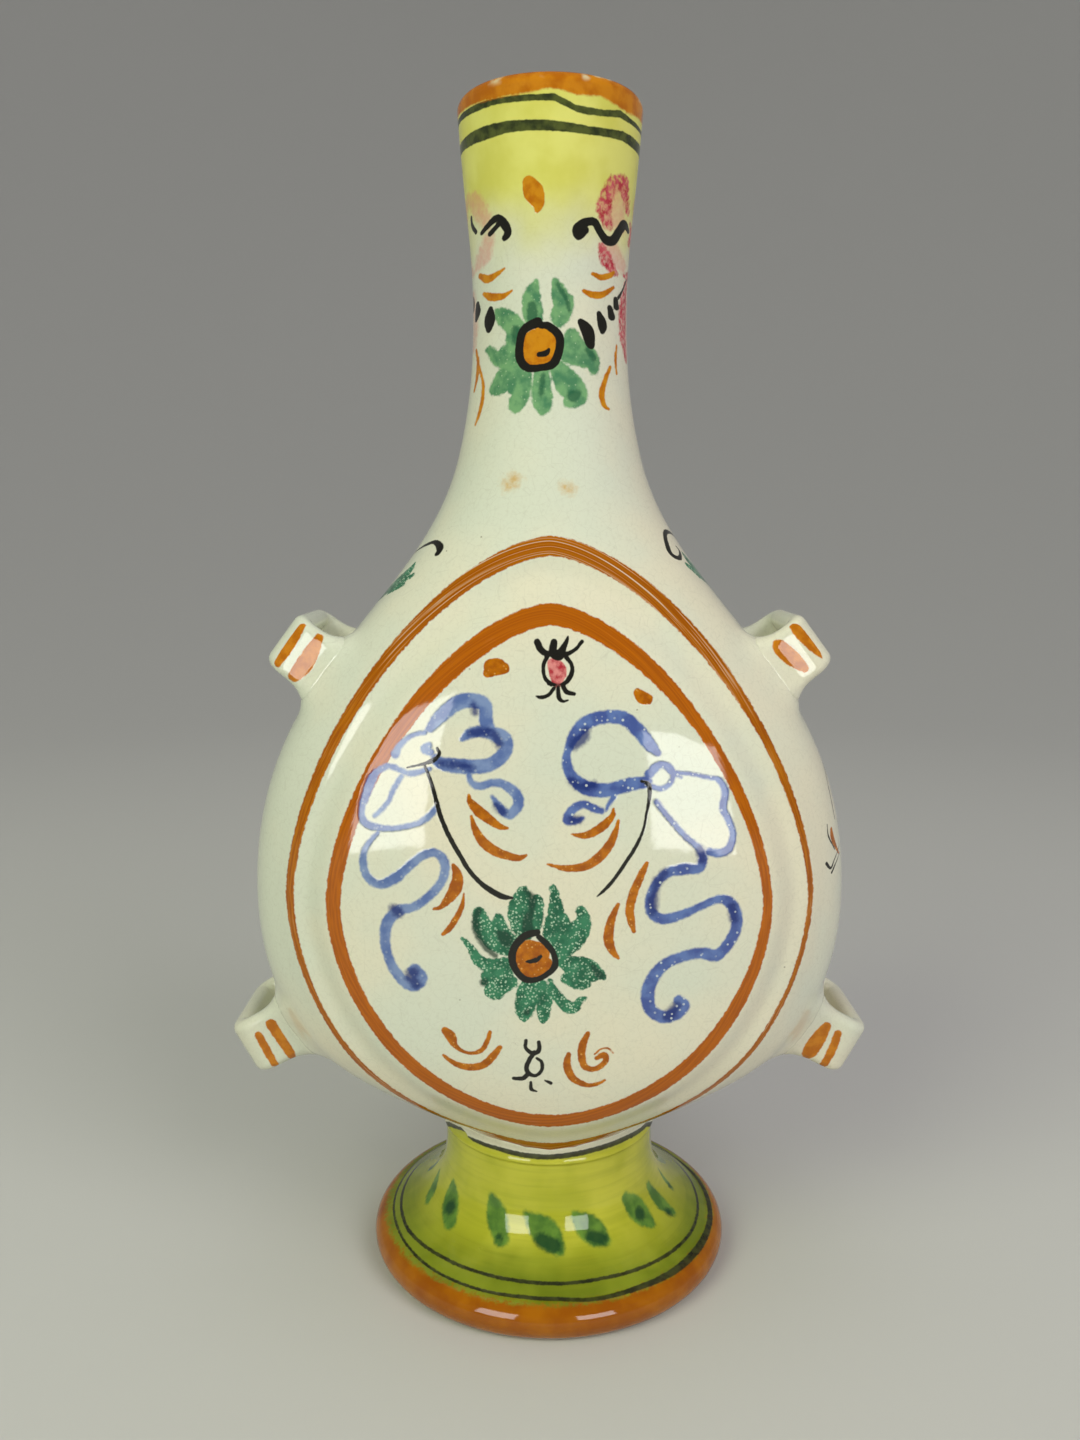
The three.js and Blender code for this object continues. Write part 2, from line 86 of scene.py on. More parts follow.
# Brushwork in millimetres: the middle line of each stroke and the brush's half width along it.
# On the body it is given across and up, as seen from the front, and the back has the same.
BODY_STROKES = {
    "blue": [
        [(-21.6, 116.8, 0.81), (-19.6, 119, 1.25), (-16.3, 121.5, 1.34), (-13.3, 121.7, 1.34),
         (-11.7, 120.8, 1.25), (-11.5, 118, 1.25), (-10.6, 116.4, 1.07)],
        [(-15.8, 115, 0.45), (-14.2, 116.1, 0.98), (-11.7, 116.3, 1.07), (-8.8, 115.4, 1.43),
         (-7.8, 114, 1.16), (-8.8, 111.9, 1.25), (-11.7, 110.3, 1.25), (-16, 110.2, 1.34),
         (-19.6, 110.7, 1.16), (-20.7, 111.7, 0.72)],
        [(-22.5, 116.1, 0.45), (-24.7, 115.5, 0.45), (-26.8, 114, 0.54), (-27.9, 112.1, 0.81)],
        [(-21.9, 113.7, 0.72), (-22.6, 113.1, 0.72), (-21.4, 112.6, 0.63)],
        [(-21.7, 109.6, 0.45), (-24.6, 108.8, 0.54), (-26.1, 108.9, 0.54), (-29, 109.9, 0.54),
         (-31.3, 108.8, 0.63), (-32.4, 107.1, 0.9), (-33.3, 104.7, 0.81), (-34.1, 102.2, 0.63),
         (-33.9, 100, 0.72), (-32.1, 99, 0.72), (-28.4, 98.8, 0.54), (-24.3, 99.7, 0.54),
         (-21.8, 101.2, 0.63), (-20.3, 103, 0.54)],
        [(-26.8, 108.2, 0.45), (-28.1, 106, 0.54), (-29.4, 103.3, 0.45), (-31.7, 100.9, 0.45)],
        [(-14.5, 109.9, 0.54), (-14.4, 107.8, 0.54), (-12.9, 106.7, 0.71), (-10.6, 107.3, 0.71),
         (-8.5, 107.1, 0.8), (-6.3, 105.5, 0.98), (-5.8, 103.5, 0.98), (-7.2, 101.7, 0.89),
         (-8.5, 102.3, 0.8), (-9.4, 103.5, 0.62), (-10.4, 104.8, 0.36)],
        [(-31.1, 98, 0.36), (-33.2, 95.5, 0.54), (-34, 92.7, 0.73), (-33.3, 89.8, 0.82),
         (-31.1, 88.4, 0.82), (-28.1, 89.7, 0.99), (-25.5, 92, 0.81), (-22.9, 94.1, 0.81),
         (-20.4, 94.5, 0.81), (-19, 92.6, 0.9), (-19.5, 89.6, 0.81), (-21.6, 86.9, 0.81),
         (-24.5, 84.6, 0.81), (-27.5, 83.7, 1), (-29.6, 81.4, 1.09), (-30.2, 78.3, 1),
         (-29.7, 74.9, 0.91), (-28.5, 72.2, 1.01), (-27, 70.4, 1.1), (-25.2, 69.5, 1.28),
         (-23.7, 70.9, 1.28), (-24.8, 72.4, 1.28)],
        [(19.2, 112.5, 0.63), (17.6, 114.1, 1.16), (15.6, 116.6, 1.25), (12.9, 118.7, 1.25),
         (9.5, 118.9, 1.16), (6.5, 118, 1.25), (4.4, 115.9, 1.16), (3.1, 113.1, 0.71),
         (2.9, 110.6, 0.89), (4, 108.2, 1.07), (6.5, 106.4, 1.34), (10.1, 106, 1.25),
         (13.7, 106.9, 1.25), (17.1, 107.4, 1.07)],
        [(11.2, 104.8, 0.54), (10.3, 103.3, 0.36), (9.9, 102.4, 0.27)],
        [(9, 102.3, 0.63), (7.6, 102.8, 0.71), (5.8, 103.5, 0.71), (4, 102.6, 0.8), (2.9, 100.7, 0.8),
         (4.4, 100.5, 0.63), (5.8, 101, 0.36)],
        [(17.6, 108.8, 0.89), (19.8, 110.2, 0.36), (21.6, 108.9, 0.36), (23.4, 108.1, 0.27)],
        [(28.1, 108, 0.36), (30.3, 107.4, 0.54), (31.5, 105.2, 0.72), (31.1, 102.3, 0.72),
         (32.2, 100.1, 0.63), (33, 97.5, 0.63), (32.3, 95, 0.81), (30.4, 94.2, 0.81), (28.6, 94.6, 0.72)],
        [(18.9, 103.8, 0.54), (21.2, 100.9, 0.54), (24.2, 97.5, 0.54), (26.7, 95.3, 0.63),
         (27.5, 93.4, 0.81), (26.8, 91.6, 0.9), (24.2, 91.5, 1.08), (21.3, 91, 0.9), (19.2, 89.2, 0.81),
         (17.9, 86.3, 0.81), (18.2, 83.7, 0.9), (20.4, 82.3, 1), (23.6, 83, 0.91), (27.3, 84.5, 0.73),
         (30.6, 85.7, 0.82), (32.9, 84.6, 1.09), (34.1, 81.5, 1.1), (33.4, 78.5, 1.1), (31.6, 75.9, 1.1),
         (30.1, 75, 1.19), (27.5, 75.6, 1.1), (24.2, 75.1, 1), (20.9, 73.7, 1.09), (18.7, 71.1, 1.19),
         (17.8, 68, 1.28), (18.4, 65, 1.19), (20.7, 63.4, 1.2), (22.9, 63.9, 1.29), (24.4, 65.4, 1.29),
         (23.6, 66.6, 1.01)],
        [(17.4, 108.2, 0.5), (18.3, 110, 0.5), (20.2, 110.6, 0.5), (21.8, 109.4, 0.5),
         (21.6, 107.4, 0.5), (19.8, 106.2, 0.5), (18, 106.6, 0.5)],
        [(22, 109, 0.4), (25.6, 108.6, 0.35), (28.1, 108, 0.4)],
    ],
    "navy": [
        [(-14.2, 116.1, 0.45), (-12, 116.3, 0.62), (-10.1, 115.7, 0.53), (-9.2, 114.2, 0.45)],
        [(-13.5, 119.8, 0.45), (-13.8, 121, 0.27)],
        [(-19.6, 110.7, 0.36), (-16.7, 110.4, 0.45), (-14.2, 109.9, 0.36)],
        [(-25.1, 72, 0.82), (-25.9, 71.2, 0.55), (-24.5, 69.7, 0.64)],
        [(4.2, 114.2, 0.8), (5.8, 115.4, 0.71), (6.3, 116.6, 0.45)],
        [(3.7, 107.8, 0.45), (5.4, 106.6, 0.54), (7.6, 106.9, 0.45)],
        [(4, 100.7, 0.54), (4.9, 100.8, 0.45)],
        [(27.1, 94.9, 0.54), (27.3, 93.4, 0.63)],
        [(18.1, 86.3, 0.45), (18.5, 83.7, 0.54), (19, 89.6, 0.36)],
        [(33.1, 84.2, 0.55), (33.5, 81.9, 0.64)],
        [(21.8, 63.5, 0.83), (23.1, 65.5, 0.64)],
        [(20.6, 91, 0.45), (19.2, 88.9, 0.45)],
        [(-27.7, 83.4, 0.73), (-28.6, 84.1, 0.45)],
        [(-9.7, 103.2, 0.36), (-8.5, 102.1, 0.45)],
    ],
    "green": [
        [(-12.9, 83.7, 1.26), (-12.2, 81.1, 1.81), (-10.1, 78.5, 2.17), (-7.9, 77, 1.63)],
        [(-9.3, 82.6, 1.08), (-9, 80.4, 1.63), (-7.2, 78.5, 1.27)],
        [(-15.9, 78.8, 0.45), (-14.4, 76.9, 0.82), (-13, 74.6, 1.27), (-10.5, 73.5, 1.64),
         (-7.9, 73.9, 1.45)],
        [(-4.9, 87.3, 1.44), (-5.3, 84.5, 2.52), (-5, 81.9, 2.53), (-4.6, 80, 1.81)],
        [(-2.4, 86, 1.26), (-2.4, 83.4, 1.26), (-2.8, 80.8, 1.27)],
        [(0.4, 88.3, 0.72), (0.8, 86.4, 1.08), (1, 83.8, 1.62), (0.5, 80.4, 1.99), (0.1, 78.1, 1.27)],
        [(5.5, 84.1, 1.08), (5.9, 81.9, 1.63), (4.4, 79.3, 2.35), (2.6, 77.4, 2.18), (1.2, 76.2, 1.27)],
        [(2.3, 83, 0.9), (2.6, 80.4, 1.63)],
        [(2.3, 74.3, 1.27), (4.5, 73.5, 2.18), (6.6, 72.8, 2.37), (8.8, 72, 1.27), (9.9, 71.2, 0.46)],
        [(3, 71.2, 1.28), (5.2, 70.1, 1.28), (6.7, 70.1, 0.91)],
        [(-0.1, 70.9, 0.55), (0.8, 68.5, 1), (2.3, 66.4, 1.28), (4.1, 65.4, 1.28), (5.6, 67, 0.73),
         (6.5, 67.5, 0.37)],
        [(-3.9, 70.1, 1.64), (-4.3, 67.4, 2.19), (-4.7, 65, 1.83), (-4.7, 63.4, 0.73)],
        [(-1.7, 69.7, 1.46), (-1.2, 67, 1.65), (-1.2, 64.2, 1.28), (-1.4, 62.7, 0.55)],
        [(-8.3, 72, 1.64), (-9.8, 70.1, 2.19), (-10.1, 68.5, 1.64), (-7.2, 70.5, 1.46)],
        [(-11.6, 71.6, 1.28), (-11.9, 70.4, 0.91)],
    ],
    "deep_green": [
        [(-12.9, 84.1, 0.63), (-13.6, 82.2, 0.63), (-13.3, 79.6, 0.63), (-11.9, 77.3, 0.63),
         (-10.1, 75.6, 0.54)],
        [(-9, 79.6, 0.91), (-7.9, 78.5, 1.27)],
        [(-4.6, 87.9, 0.36), (-3.2, 86.4, 0.63), (-3.5, 84.2, 0.54), (-4.2, 81.9, 1.08), (-3.9, 80, 1.09)],
        [(7.4, 73.9, 0.45), (8.8, 72, 0.73), (9.6, 71.6, 0.46)],
        [(-12.1, 70.4, 0.82)],
        [(-4.3, 64.6, 0.73)],
    ],
    "orange": [
        [(-5, 76.5, 1.4), (-5.4, 74.2, 1.4), (-3.8, 72.5, 1.4), (-1.6, 72.6, 1.0)],
        [(-3.9, 76.6, 2), (-1.7, 76.2, 1.63), (-3.2, 74.3, 2.36), (-0.6, 73.9, 1.09), (-3.5, 72.4, 1.27)],
        [(-10.6, 127.7, 1.43), (-9.4, 127.7, 1.43), (-11.3, 126.6, 0.8), (-8.3, 127.5, 0.98)],
        [(15.5, 123.2, 0.71), (16.4, 122.3, 1.16), (17.3, 122, 0.98)],
        [(-14.6, 105.1, 0.27), (-14.4, 104, 0.54), (-12.8, 102.2, 0.98), (-10.6, 100.5, 0.8),
         (-8.9, 99.4, 0.54), (-7.6, 99.2, 0.18)],
        [(-14.2, 101.3, 0.27), (-13.5, 99, 0.63), (-12.1, 96.7, 0.9), (-9.9, 95, 0.9),
         (-7.4, 94.1, 0.72), (-5.6, 93.8, 0.54), (-4.4, 94.3, 0.27)],
        [(-17.5, 92.4, 0.36), (-16.8, 90.7, 0.9), (-17, 88.5, 1.17), (-18.3, 86.3, 0.9),
         (-19.8, 84.6, 0.45), (-21.1, 84.2, 0.27)],
        [(-15.6, 87.2, 0.18), (-16, 84.8, 0.45), (-17.1, 82.5, 0.54), (-18.4, 80.5, 0.54),
         (-19.5, 79.5, 0.36)],
        [(11.2, 102.6, 0.27), (11, 101.4, 0.54), (9.4, 99.6, 0.8), (6.9, 98.1, 0.72), (5.1, 97.9, 0.45),
         (3.7, 98.1, 0.18)],
        [(12.1, 100.6, 0.27), (11.7, 98.8, 0.54), (10.5, 96.1, 0.81), (8.7, 93.9, 0.9),
         (6.2, 92.3, 0.81), (3, 91.9, 0.63), (0.8, 92.3, 0.36), (-0.6, 92.7, 0.18)],
        [(17.3, 92.8, 0.36), (16.3, 90.6, 0.72), (15, 87.4, 0.81), (14.3, 84.5, 0.81), (14.6, 82, 0.72),
         (15.1, 80.1, 0.36)],
        [(12.2, 85.2, 0.36), (11.3, 83.2, 0.63), (10.6, 80.4, 0.9), (10.6, 78.1, 0.91), (11.5, 76, 0.64),
         (12.4, 75, 0.27)],
        [(-19.4, 60.8, 0.74), (-18.4, 59.7, 1.01), (-17.8, 58.1, 0.65), (-16.6, 56.9, 0.37),
         (-14.7, 56.3, 0.37), (-12.8, 56.9, 0.46), (-11.7, 58.6, 0.46), (-11.1, 60.6, 0.37)],
        [(-19.8, 55.7, 0.28), (-17.7, 54.1, 0.56), (-15.1, 53.4, 0.74), (-12.5, 53.9, 0.74),
         (-10.6, 55.8, 0.74), (-9.3, 57.6, 0.46)],
        [(6.9, 60.4, 0.46), (6, 58.2, 0.74), (5.8, 55.8, 0.74), (6.4, 53.7, 0.65), (7.9, 53.1, 0.56),
         (9.4, 53.7, 0.56), (10.3, 55, 0.56), (9.9, 56, 0.65), (8.6, 55.4, 0.46)],
        [(3.4, 56.2, 0.46), (3.1, 54.2, 0.74), (3.8, 51.8, 0.74), (5.3, 50.4, 0.65), (7.2, 49.7, 0.47),
         (9, 50.1, 0.37), (10.1, 50.7, 0.28)],
        [(8.2, 56.2, 0.18), (9.3, 57.2, 0.18), (10.6, 57.4, 0.18), (11.6, 56.4, 0.18)],
    ],
    "crimson": [
        [(0.3, 128.4, 0.89), (1.2, 127.2, 1.6), (1.2, 125.8, 1.25), (1.2, 124.7, 0.71)],
    ],
    "black": [
        [(-20.3, 113.3, 0.36), (-19.9, 112.3, 0.45), (-21, 111.2, 0.54), (-22.8, 110.5, 0.36),
         (-25.7, 109.8, 0.27)],
        [(-22.5, 110.1, 0.36), (-21.4, 107.3, 0.45), (-20.5, 104.1, 0.54), (-19.6, 100.9, 0.54),
         (-18, 97.3, 0.54), (-16.2, 94.1, 0.54), (-14.8, 91.7, 0.54), (-12.9, 89.5, 0.54),
         (-10.9, 87.9, 0.63), (-8.7, 86.7, 0.63), (-6.8, 86.4, 0.36)],
        [(16.2, 107.6, 0.36), (17.6, 106.8, 0.54), (17.6, 104.2, 0.45), (17.1, 101.5, 0.36),
         (16.6, 98.8, 0.36), (15.1, 95.5, 0.45), (13.5, 93, 0.45), (11.8, 90.4, 0.45), (10, 88.2, 0.45),
         (8.4, 86.7, 0.27)],
        [(-2.4, 132.1, 0.71), (-1.7, 130.7, 0.71), (-0.4, 130, 0.62), (0.6, 130.3, 0.71)],
        [(0.6, 132.1, 0.71), (0.4, 130.3, 0.89), (1.5, 129.8, 1.07), (2.2, 131, 0.71),
         (2.9, 132.4, 0.45), (3.1, 133.1, 0.27)],
        [(5.6, 132.2, 0.45), (4.4, 130.8, 0.45), (2.9, 130, 0.54), (1.5, 130, 0.71)],
        [(-0.6, 129.6, 0.54), (-1.3, 127.9, 0.45), (-1, 125.8, 0.45), (0.1, 124.7, 0.53)],
        [(2.8, 129.4, 0.54), (3.7, 128.2, 0.45), (3.8, 126.8, 0.53), (3.1, 125.4, 0.53),
         (2.2, 124.7, 0.45)],
        [(-0.3, 124.9, 0.53), (1.2, 124.5, 0.36), (2.4, 124.7, 0.45)],
        [(0.6, 124, 0.45), (-0.4, 122.8, 0.45), (-1.7, 122.4, 0.45), (-2.6, 122.6, 0.27)],
        [(1.3, 124, 0.45), (1.5, 122.3, 0.53), (2.2, 121.7, 0.36), (3.1, 121.9, 0.27)],
        [(2.2, 124.4, 0.53), (2.9, 123.3, 0.53), (4.2, 123, 0.45)],
        [(-2.4, 80, 0.72), (-4.6, 79.3, 0.81), (-6.4, 77.4, 0.82), (-7, 75.1, 0.82), (-6.3, 72.8, 0.73),
         (-4.6, 71, 0.73), (-2.5, 71, 0.64), (-0.6, 72, 0.64), (0.8, 73.6, 0.73), (0.6, 75.8, 0.64),
         (-0.6, 77.7, 0.72), (-2.1, 79.1, 0.63)],
        [(-4.5, 74.3, 0.45), (-2.6, 74.7, 0.55), (-1.5, 75.8, 0.45)],
        [(-4.5, 59, 0.46), (-4.5, 57.4, 0.46), (-3.2, 56.4, 0.55), (-2.1, 57, 0.55), (-2.1, 58.7, 0.46)],
        [(-2.9, 56.6, 0.55), (-3.8, 55.2, 0.56), (-4.4, 53.5, 0.56), (-4, 52.3, 0.56),
         (-2.7, 51.8, 0.46), (-1.6, 52.9, 0.46), (-1.6, 54.6, 0.46), (-2.5, 55.4, 0.37)],
        [(-4.2, 52.1, 0.56), (-5.1, 51.2, 0.56), (-6.8, 51.2, 0.47)],
        [(-3.6, 50.4, 0.37), (-3.5, 48.9, 0.47), (-2.5, 48.4, 0.28)],
        [(-1, 50.8, 0.28), (0.1, 50.2, 0.47)],
    ],
    "stain": [
        [(-7.7, 160.1, 0.5), (-6.6, 160.8, 0.6)], [(2.7, 159.5, 0.2), (3.6, 159, 0.2)],
    ],
}
# On the narrow sides of the body it is given out from the seam and up: a sprig on both sides,
# a spray on each shoulder and tendrils on the right; the back has the same turned half round
SIDE_STROKES = {
    "green": [
        [(0.8, 76, 0.4), (3, 79.5, 1.3), (6.2, 82.4, 1.2), (7.6, 85, 0.3)],
        [(0.6, 86, 0.4), (2.4, 90, 1.2), (5.4, 93.4, 1.2), (6.6, 96.4, 0.3)],
        [(0.4, 96, 0.3), (2.2, 99.6, 0.9), (4.2, 102.4, 0.8), (4.8, 104.6, 0.25)],
    ],
    "orange": [
        [(0, 107.6, 1.5), (0, 110, 1.1), (0, 111.6, 0.5)],
        [(3.2, 70, 0.3), (2.2, 71.6, 0.8), (0.8, 72.4, 0.5)],
        [(0, 147.4, 1.3), (0, 149.6, 1.1), (0, 151.4, 0.4)],
    ],
    "black": [
        [(0, 73, 0.25), (0, 90, 0.35), (0, 105.4, 0.3)],
        [(0, 134.4, 0.25), (0, 140, 0.35), (0, 145.4, 0.3)],
    ],
}
LEFT_STROKES = {
    "green": [
        [(0.6, 136.2, 0.4), (4.4, 138.4, 1.1), (8.2, 141.2, 1.7), (10.6, 143.6, 1.5), (10.6, 145.6, 0.4)],
        [(9.6, 141, 0.8), (12.6, 143, 0.8), (13.5, 143.3, 0.3)],
        [(9.5, 140, 0.7), (12.2, 141.4, 0.7), (13, 141.6, 0.3)],
    ],
    "black": [
        [(1.2, 145.8, 0.2), (5.4, 147.6, 0.3), (9.6, 149, 0.42), (12.3, 149.6, 0.5), (14.6, 148.6, 0.7),
         (15.1, 147.5, 0.6)],
    ],
}
RIGHT_STROKES = {
    "green": [
        [(0.6, 137.4, 0.4), (3, 140.2, 1.2), (5.2, 142.9, 1.7), (7.6, 145.6, 1.5), (7.6, 147.6, 0.4)],
        [(6.5, 142.6, 0.8), (9.8, 144.8, 0.9), (10.9, 145.3, 0.3)],
        [(5, 141.6, 0.7), (8.6, 143.4, 0.8), (9.7, 143.7, 0.3)],
    ],
    "orange": [[(17, 95, 0.4), (17.1, 93.3, 0.7), (16, 91.2, 0.5), (14.6, 89.6, 0.3)]],
    "black": [
        [(1.2, 146.4, 0.2), (3.4, 149.8, 0.3), (6.4, 151.3, 0.45), (10, 151.3, 0.57),
         (12.5, 148.8, 0.66), (13, 147.2, 0.66), (11.3, 146.6, 0.5), (9, 147.8, 0.4), (9, 148.7, 0.3)],
        [(1.2, 105, 0.25), (6, 107, 0.3), (10, 106.6, 0.3), (12.3, 104.4, 0.28), (13.4, 101.9, 0.3),
         (14, 99, 0.3), (14.2, 96.4, 0.25)],
        [(18.2, 96.3, 0.2), (18.4, 93.9, 0.28), (16.8, 91, 0.28)],
        [(19.9, 89, 0.45), (18.7, 87.8, 0.35), (16.8, 89.4, 0.24), (13, 91.2, 0.22)],
        [(18.6, 86.8, 0.35), (16.5, 88.4, 0.24), (13.6, 89.6, 0.2)],
    ],
}
# On the neck and foot it is given as degrees from the front and the height, and repeated on the back
NECK_STROKES = {
    "green": [
        [(-10, 196, 0.36), (-13, 193.8, 1.45), (-13, 191.6, 1.81), (-12, 189.8, 1.63)],
        [(3, 196.3, 0.36), (6, 194.3, 1.27), (9, 191.9, 1.81), (6, 189.8, 1.45), (12, 192.9, 1.09)],
        [(-41, 191.4, 0.55), (-34, 190.2, 1.47), (-25, 188.2, 1.64), (-28, 186.2, 1.1)],
        [(-49, 184.9, 0.56), (-40, 183.2, 1.11), (-30, 183.3, 2.02), (-25, 184.7, 0.92)],
        [(-39, 177.8, 1.3), (-31, 179.4, 2.02), (-23, 180.4, 1.28), (-26, 177.5, 0.92)],
        [(-16, 179.9, 0.73), (-18, 177.4, 1.28), (-22, 175, 1.47), (-23, 173.9, 0.73)],
        [(-6, 180.2, 1.28), (-6, 177.4, 1.64), (-5, 174.9, 1.64), (-5, 173.4, 0.73)],
        [(5, 180.9, 1.28), (11, 178.5, 2.19), (17, 176.4, 2.01), (12, 174.9, 0.91)],
        [(13, 184.2, 2.19), (22, 183.6, 2.19), (30, 182.6, 1.47), (31, 180.9, 0.74)],
        [(15, 186.7, 1.27), (19, 185.3, 1.28)],
    ],
    "deep_green": [
        [(-13, 191.9, 0.91), (-13, 190.2, 1.09)],
        [(-25, 187.9, 0.82), (-25, 185.8, 0.64)],
        [(5, 195.7, 0.45), (11, 193.3, 0.45), (13, 191.2, 0.36)],
        [(15, 176, 1.1), (18, 176.4, 0.73)],
        [(27, 184.4, 0.55), (32, 183, 0.55)],
        [(-5, 179.5, 0.55), (-6, 176.3, 0.46)],
    ],
    "orange": [
        [(-16, 186, 1.4), (-16, 183.4, 1.4), (-8, 182.6, 1.4), (1, 183.6, 1.4), (0, 186.4, 1.4),
         (-8, 187, 1.4)],
        [(-9, 186.3, 2), (-14, 183.8, 1.64), (-6, 183.8, 2.37), (-1, 185.2, 1.27), (-10, 182.4, 1.28)],
        [(-14, 212.8, 1.07), (-11, 211.1, 1.78), (-8, 209.3, 1.07), (-9, 208, 0.36)],
        [(-61, 198.6, 0.47), (-51, 197.6, 0.74), (-41, 198.1, 0.46), (-34, 198.9, 0.18)],
        [(-56, 195.2, 0.37), (-47, 194.3, 0.74), (-36, 194.1, 0.55), (-28, 194.9, 0.18)],
        [(31, 197.8, 0.36), (39, 197.5, 0.55), (48, 198.2, 0.46), (52, 198.9, 0.28)],
        [(24, 194.7, 0.36), (32, 194.2, 0.64), (41, 194.6, 0.55), (52, 196.2, 0.28)],
        [(-69, 185.6, 0.28), (-64, 183.2, 0.38), (-64, 180.3, 0.38), (-67, 177.8, 0.19)],
        [(-62, 182.4, 0.28), (-54, 178.9, 0.28), (-53, 175.5, 0.38), (-56, 172.6, 0.28),
         (-58, 171.4, 0.19)],
        [(56, 186, 0.19), (54, 183.6, 0.28), (54, 180.7, 0.19)],
        [(47, 181.8, 0.28), (41, 179.3, 0.46), (37, 176.7, 0.56), (38, 174.7, 0.46), (42, 174, 0.28)],
    ],
    "black": [
        [(-9, 189.1, 0.91), (-19, 187.8, 0.82), (-22, 185, 0.82), (-21, 182.5, 0.82), (-15, 181, 0.73),
         (-5, 181.1, 0.64), (2, 181.8, 0.82), (6, 184.1, 0.82), (6, 186.6, 0.82), (-1, 188.3, 0.73),
         (-7, 188.5, 0.54)],
        [(-8, 183.4, 0.46), (-3, 183.6, 0.55), (-1, 184.3, 0.27)],
        [(-78, 195.4, 0.3), (-77, 194.2, 0.45), (-78, 193, 0.3)],
        [(-67, 193.8, 0.55), (-67, 192.4, 0.8), (-70, 191.2, 0.5)],
        [(-48, 192.2, 0.5), (-49, 190.3, 1.15), (-50, 188.6, 0.6)],
        [(75, 198.6, 0.19), (66, 196.3, 0.19), (59, 194.6, 0.28)],
        [(55, 194.2, 0.5), (56, 192.9, 0.65)],
        [(48, 192.4, 0.55), (50, 191, 0.8)],
        [(37, 191, 0.55), (40, 189.3, 1), (40, 188, 0.55)],
        [(22, 189.2, 0.73), (27, 187.7, 1.28), (29, 185.8, 1.01), (30, 185.1, 0.55)],
    ],
}
# Blooms and tendrils at the sides of the neck, on the front only
NECK_BLOOMS = {
    "crimson": [
        [(45, 214.3, 0.9), (40, 211.5, 1.26), (38, 208.9, 1.45), (43, 206.6, 0.91)],
        [(54, 214.5, 1.28), (59, 212.6, 0.92), (65, 210, 0.56)],
        [(74, 208.4, 0.5), (79, 206.8, 0.7), (75, 205, 0.5)],
        [(38, 202.6, 0.73), (42, 200.9, 1.28), (49, 199.4, 0.92), (54, 198.8, 0.56)],
        [(92, 214, 0.6), (103, 211.4, 1.1), (106, 207.8, 1.2), (100, 204.8, 0.7)],
        [(68, 199, 0.4), (82, 199.4, 0.9), (95, 201.6, 0.8), (101, 203.4, 0.4)],
        [(74, 197.5, 0.7), (68, 193, 1.1), (68, 188, 1), (74, 184, 0.6)],
        [(92, 197.3, 0.5), (99, 193, 1), (99, 188, 0.9), (91, 184, 0.5)],
    ],
    "pink": [
        [(52, 213, 1.5), (49, 209.5, 2), (56, 207, 1.3)],
        [(46, 203.5, 1.2), (52, 201.5, 1.8), (62, 200.6, 1.4)],
        [(86, 212.4, 1.2), (93, 208.4, 1.8), (86, 204.4, 1.2)],
        [(81, 195, 0.9), (79, 188, 1.1), (88, 187, 0.9), (88, 194, 0.9)],
        [(-63, 212, 1.29), (-54, 209.4, 1.47), (-48, 207, 0.91)],
        [(-47, 204.6, 0.92), (-54, 202, 1.48), (-66, 200.3, 0.75)],
        [(-72, 212.8, 0.8), (-84, 211.2, 1.2), (-92, 208, 1), (-93, 205, 0.6)],
        [(-75, 199.8, 0.7), (-86, 200.8, 1.1), (-92, 203, 0.7)],
        [(-78, 196, 0.8), (-74, 191, 1.1), (-76, 186, 0.8)],
        [(-91, 196.6, 0.6), (-97, 191, 1), (-91, 185.6, 0.7)],
    ],
    "black": [
        [(-69, 209.4, 0.28), (-69, 208, 0.37), (-63, 206.4, 0.37)],
        [(-55, 205.8, 0.37), (-45, 207, 0.55), (-38, 207.6, 0.63), (-33, 206.5, 0.81),
         (-30, 204.9, 0.72), (-33, 204, 0.54)],
        [(-46, 205.2, 0.46), (-38, 206.4, 0.45)],
        [(24, 205.1, 0.72), (19, 204.1, 0.81), (18, 205.3, 0.81), (24, 206.4, 0.72), (31, 206.6, 0.72),
         (36, 205.1, 0.73), (42, 204, 0.82), (49, 204.3, 0.83), (56, 206.4, 0.74), (62, 207.7, 0.74),
         (70, 207, 0.47)],
    ],
}
FOOT_STROKES = {
    "green": [
        [(-82, 15.6, 0.7), (-76, 13.4, 1.4), (-72, 11.9, 0.7)],
        [(-61, 17.9, 0.7), (-57, 15.1, 2.5), (-50, 12.5, 1.5)],
        [(-31, 19.4, 1), (-27, 16.6, 2.4), (-22, 13.3, 1.6)],
        [(-12, 17.9, 0.6), (-2, 15.1, 2.76), (4, 12.6, 1.18)],
        [(13, 17.4, 1.1), (20, 14.7, 2.7), (25, 12.9, 1.2)],
        [(43, 17.6, 1.4), (48, 14.9, 2.7), (51, 12.4, 1.3)],
        [(63, 16.8, 1), (65, 13.6, 1.9), (67, 11.2, 1)],
        [(84, 15.7, 0.43), (83, 13.2, 0.86), (82, 12.1, 0.43)],
    ],
    "deep_green": [
        [(-55, 14.2, 1.44)],
        [(-23, 13.5, 0.69)],
        [(-4, 13.9, 1.38), (2, 13.1, 1.37)],
        [(19, 13.9, 1.19), (24, 13.2, 1.19)],
        [(48, 14.2, 1.43)], [(65, 11.5, 0.94)], [(82, 12.6, 0.65)],
    ],
}
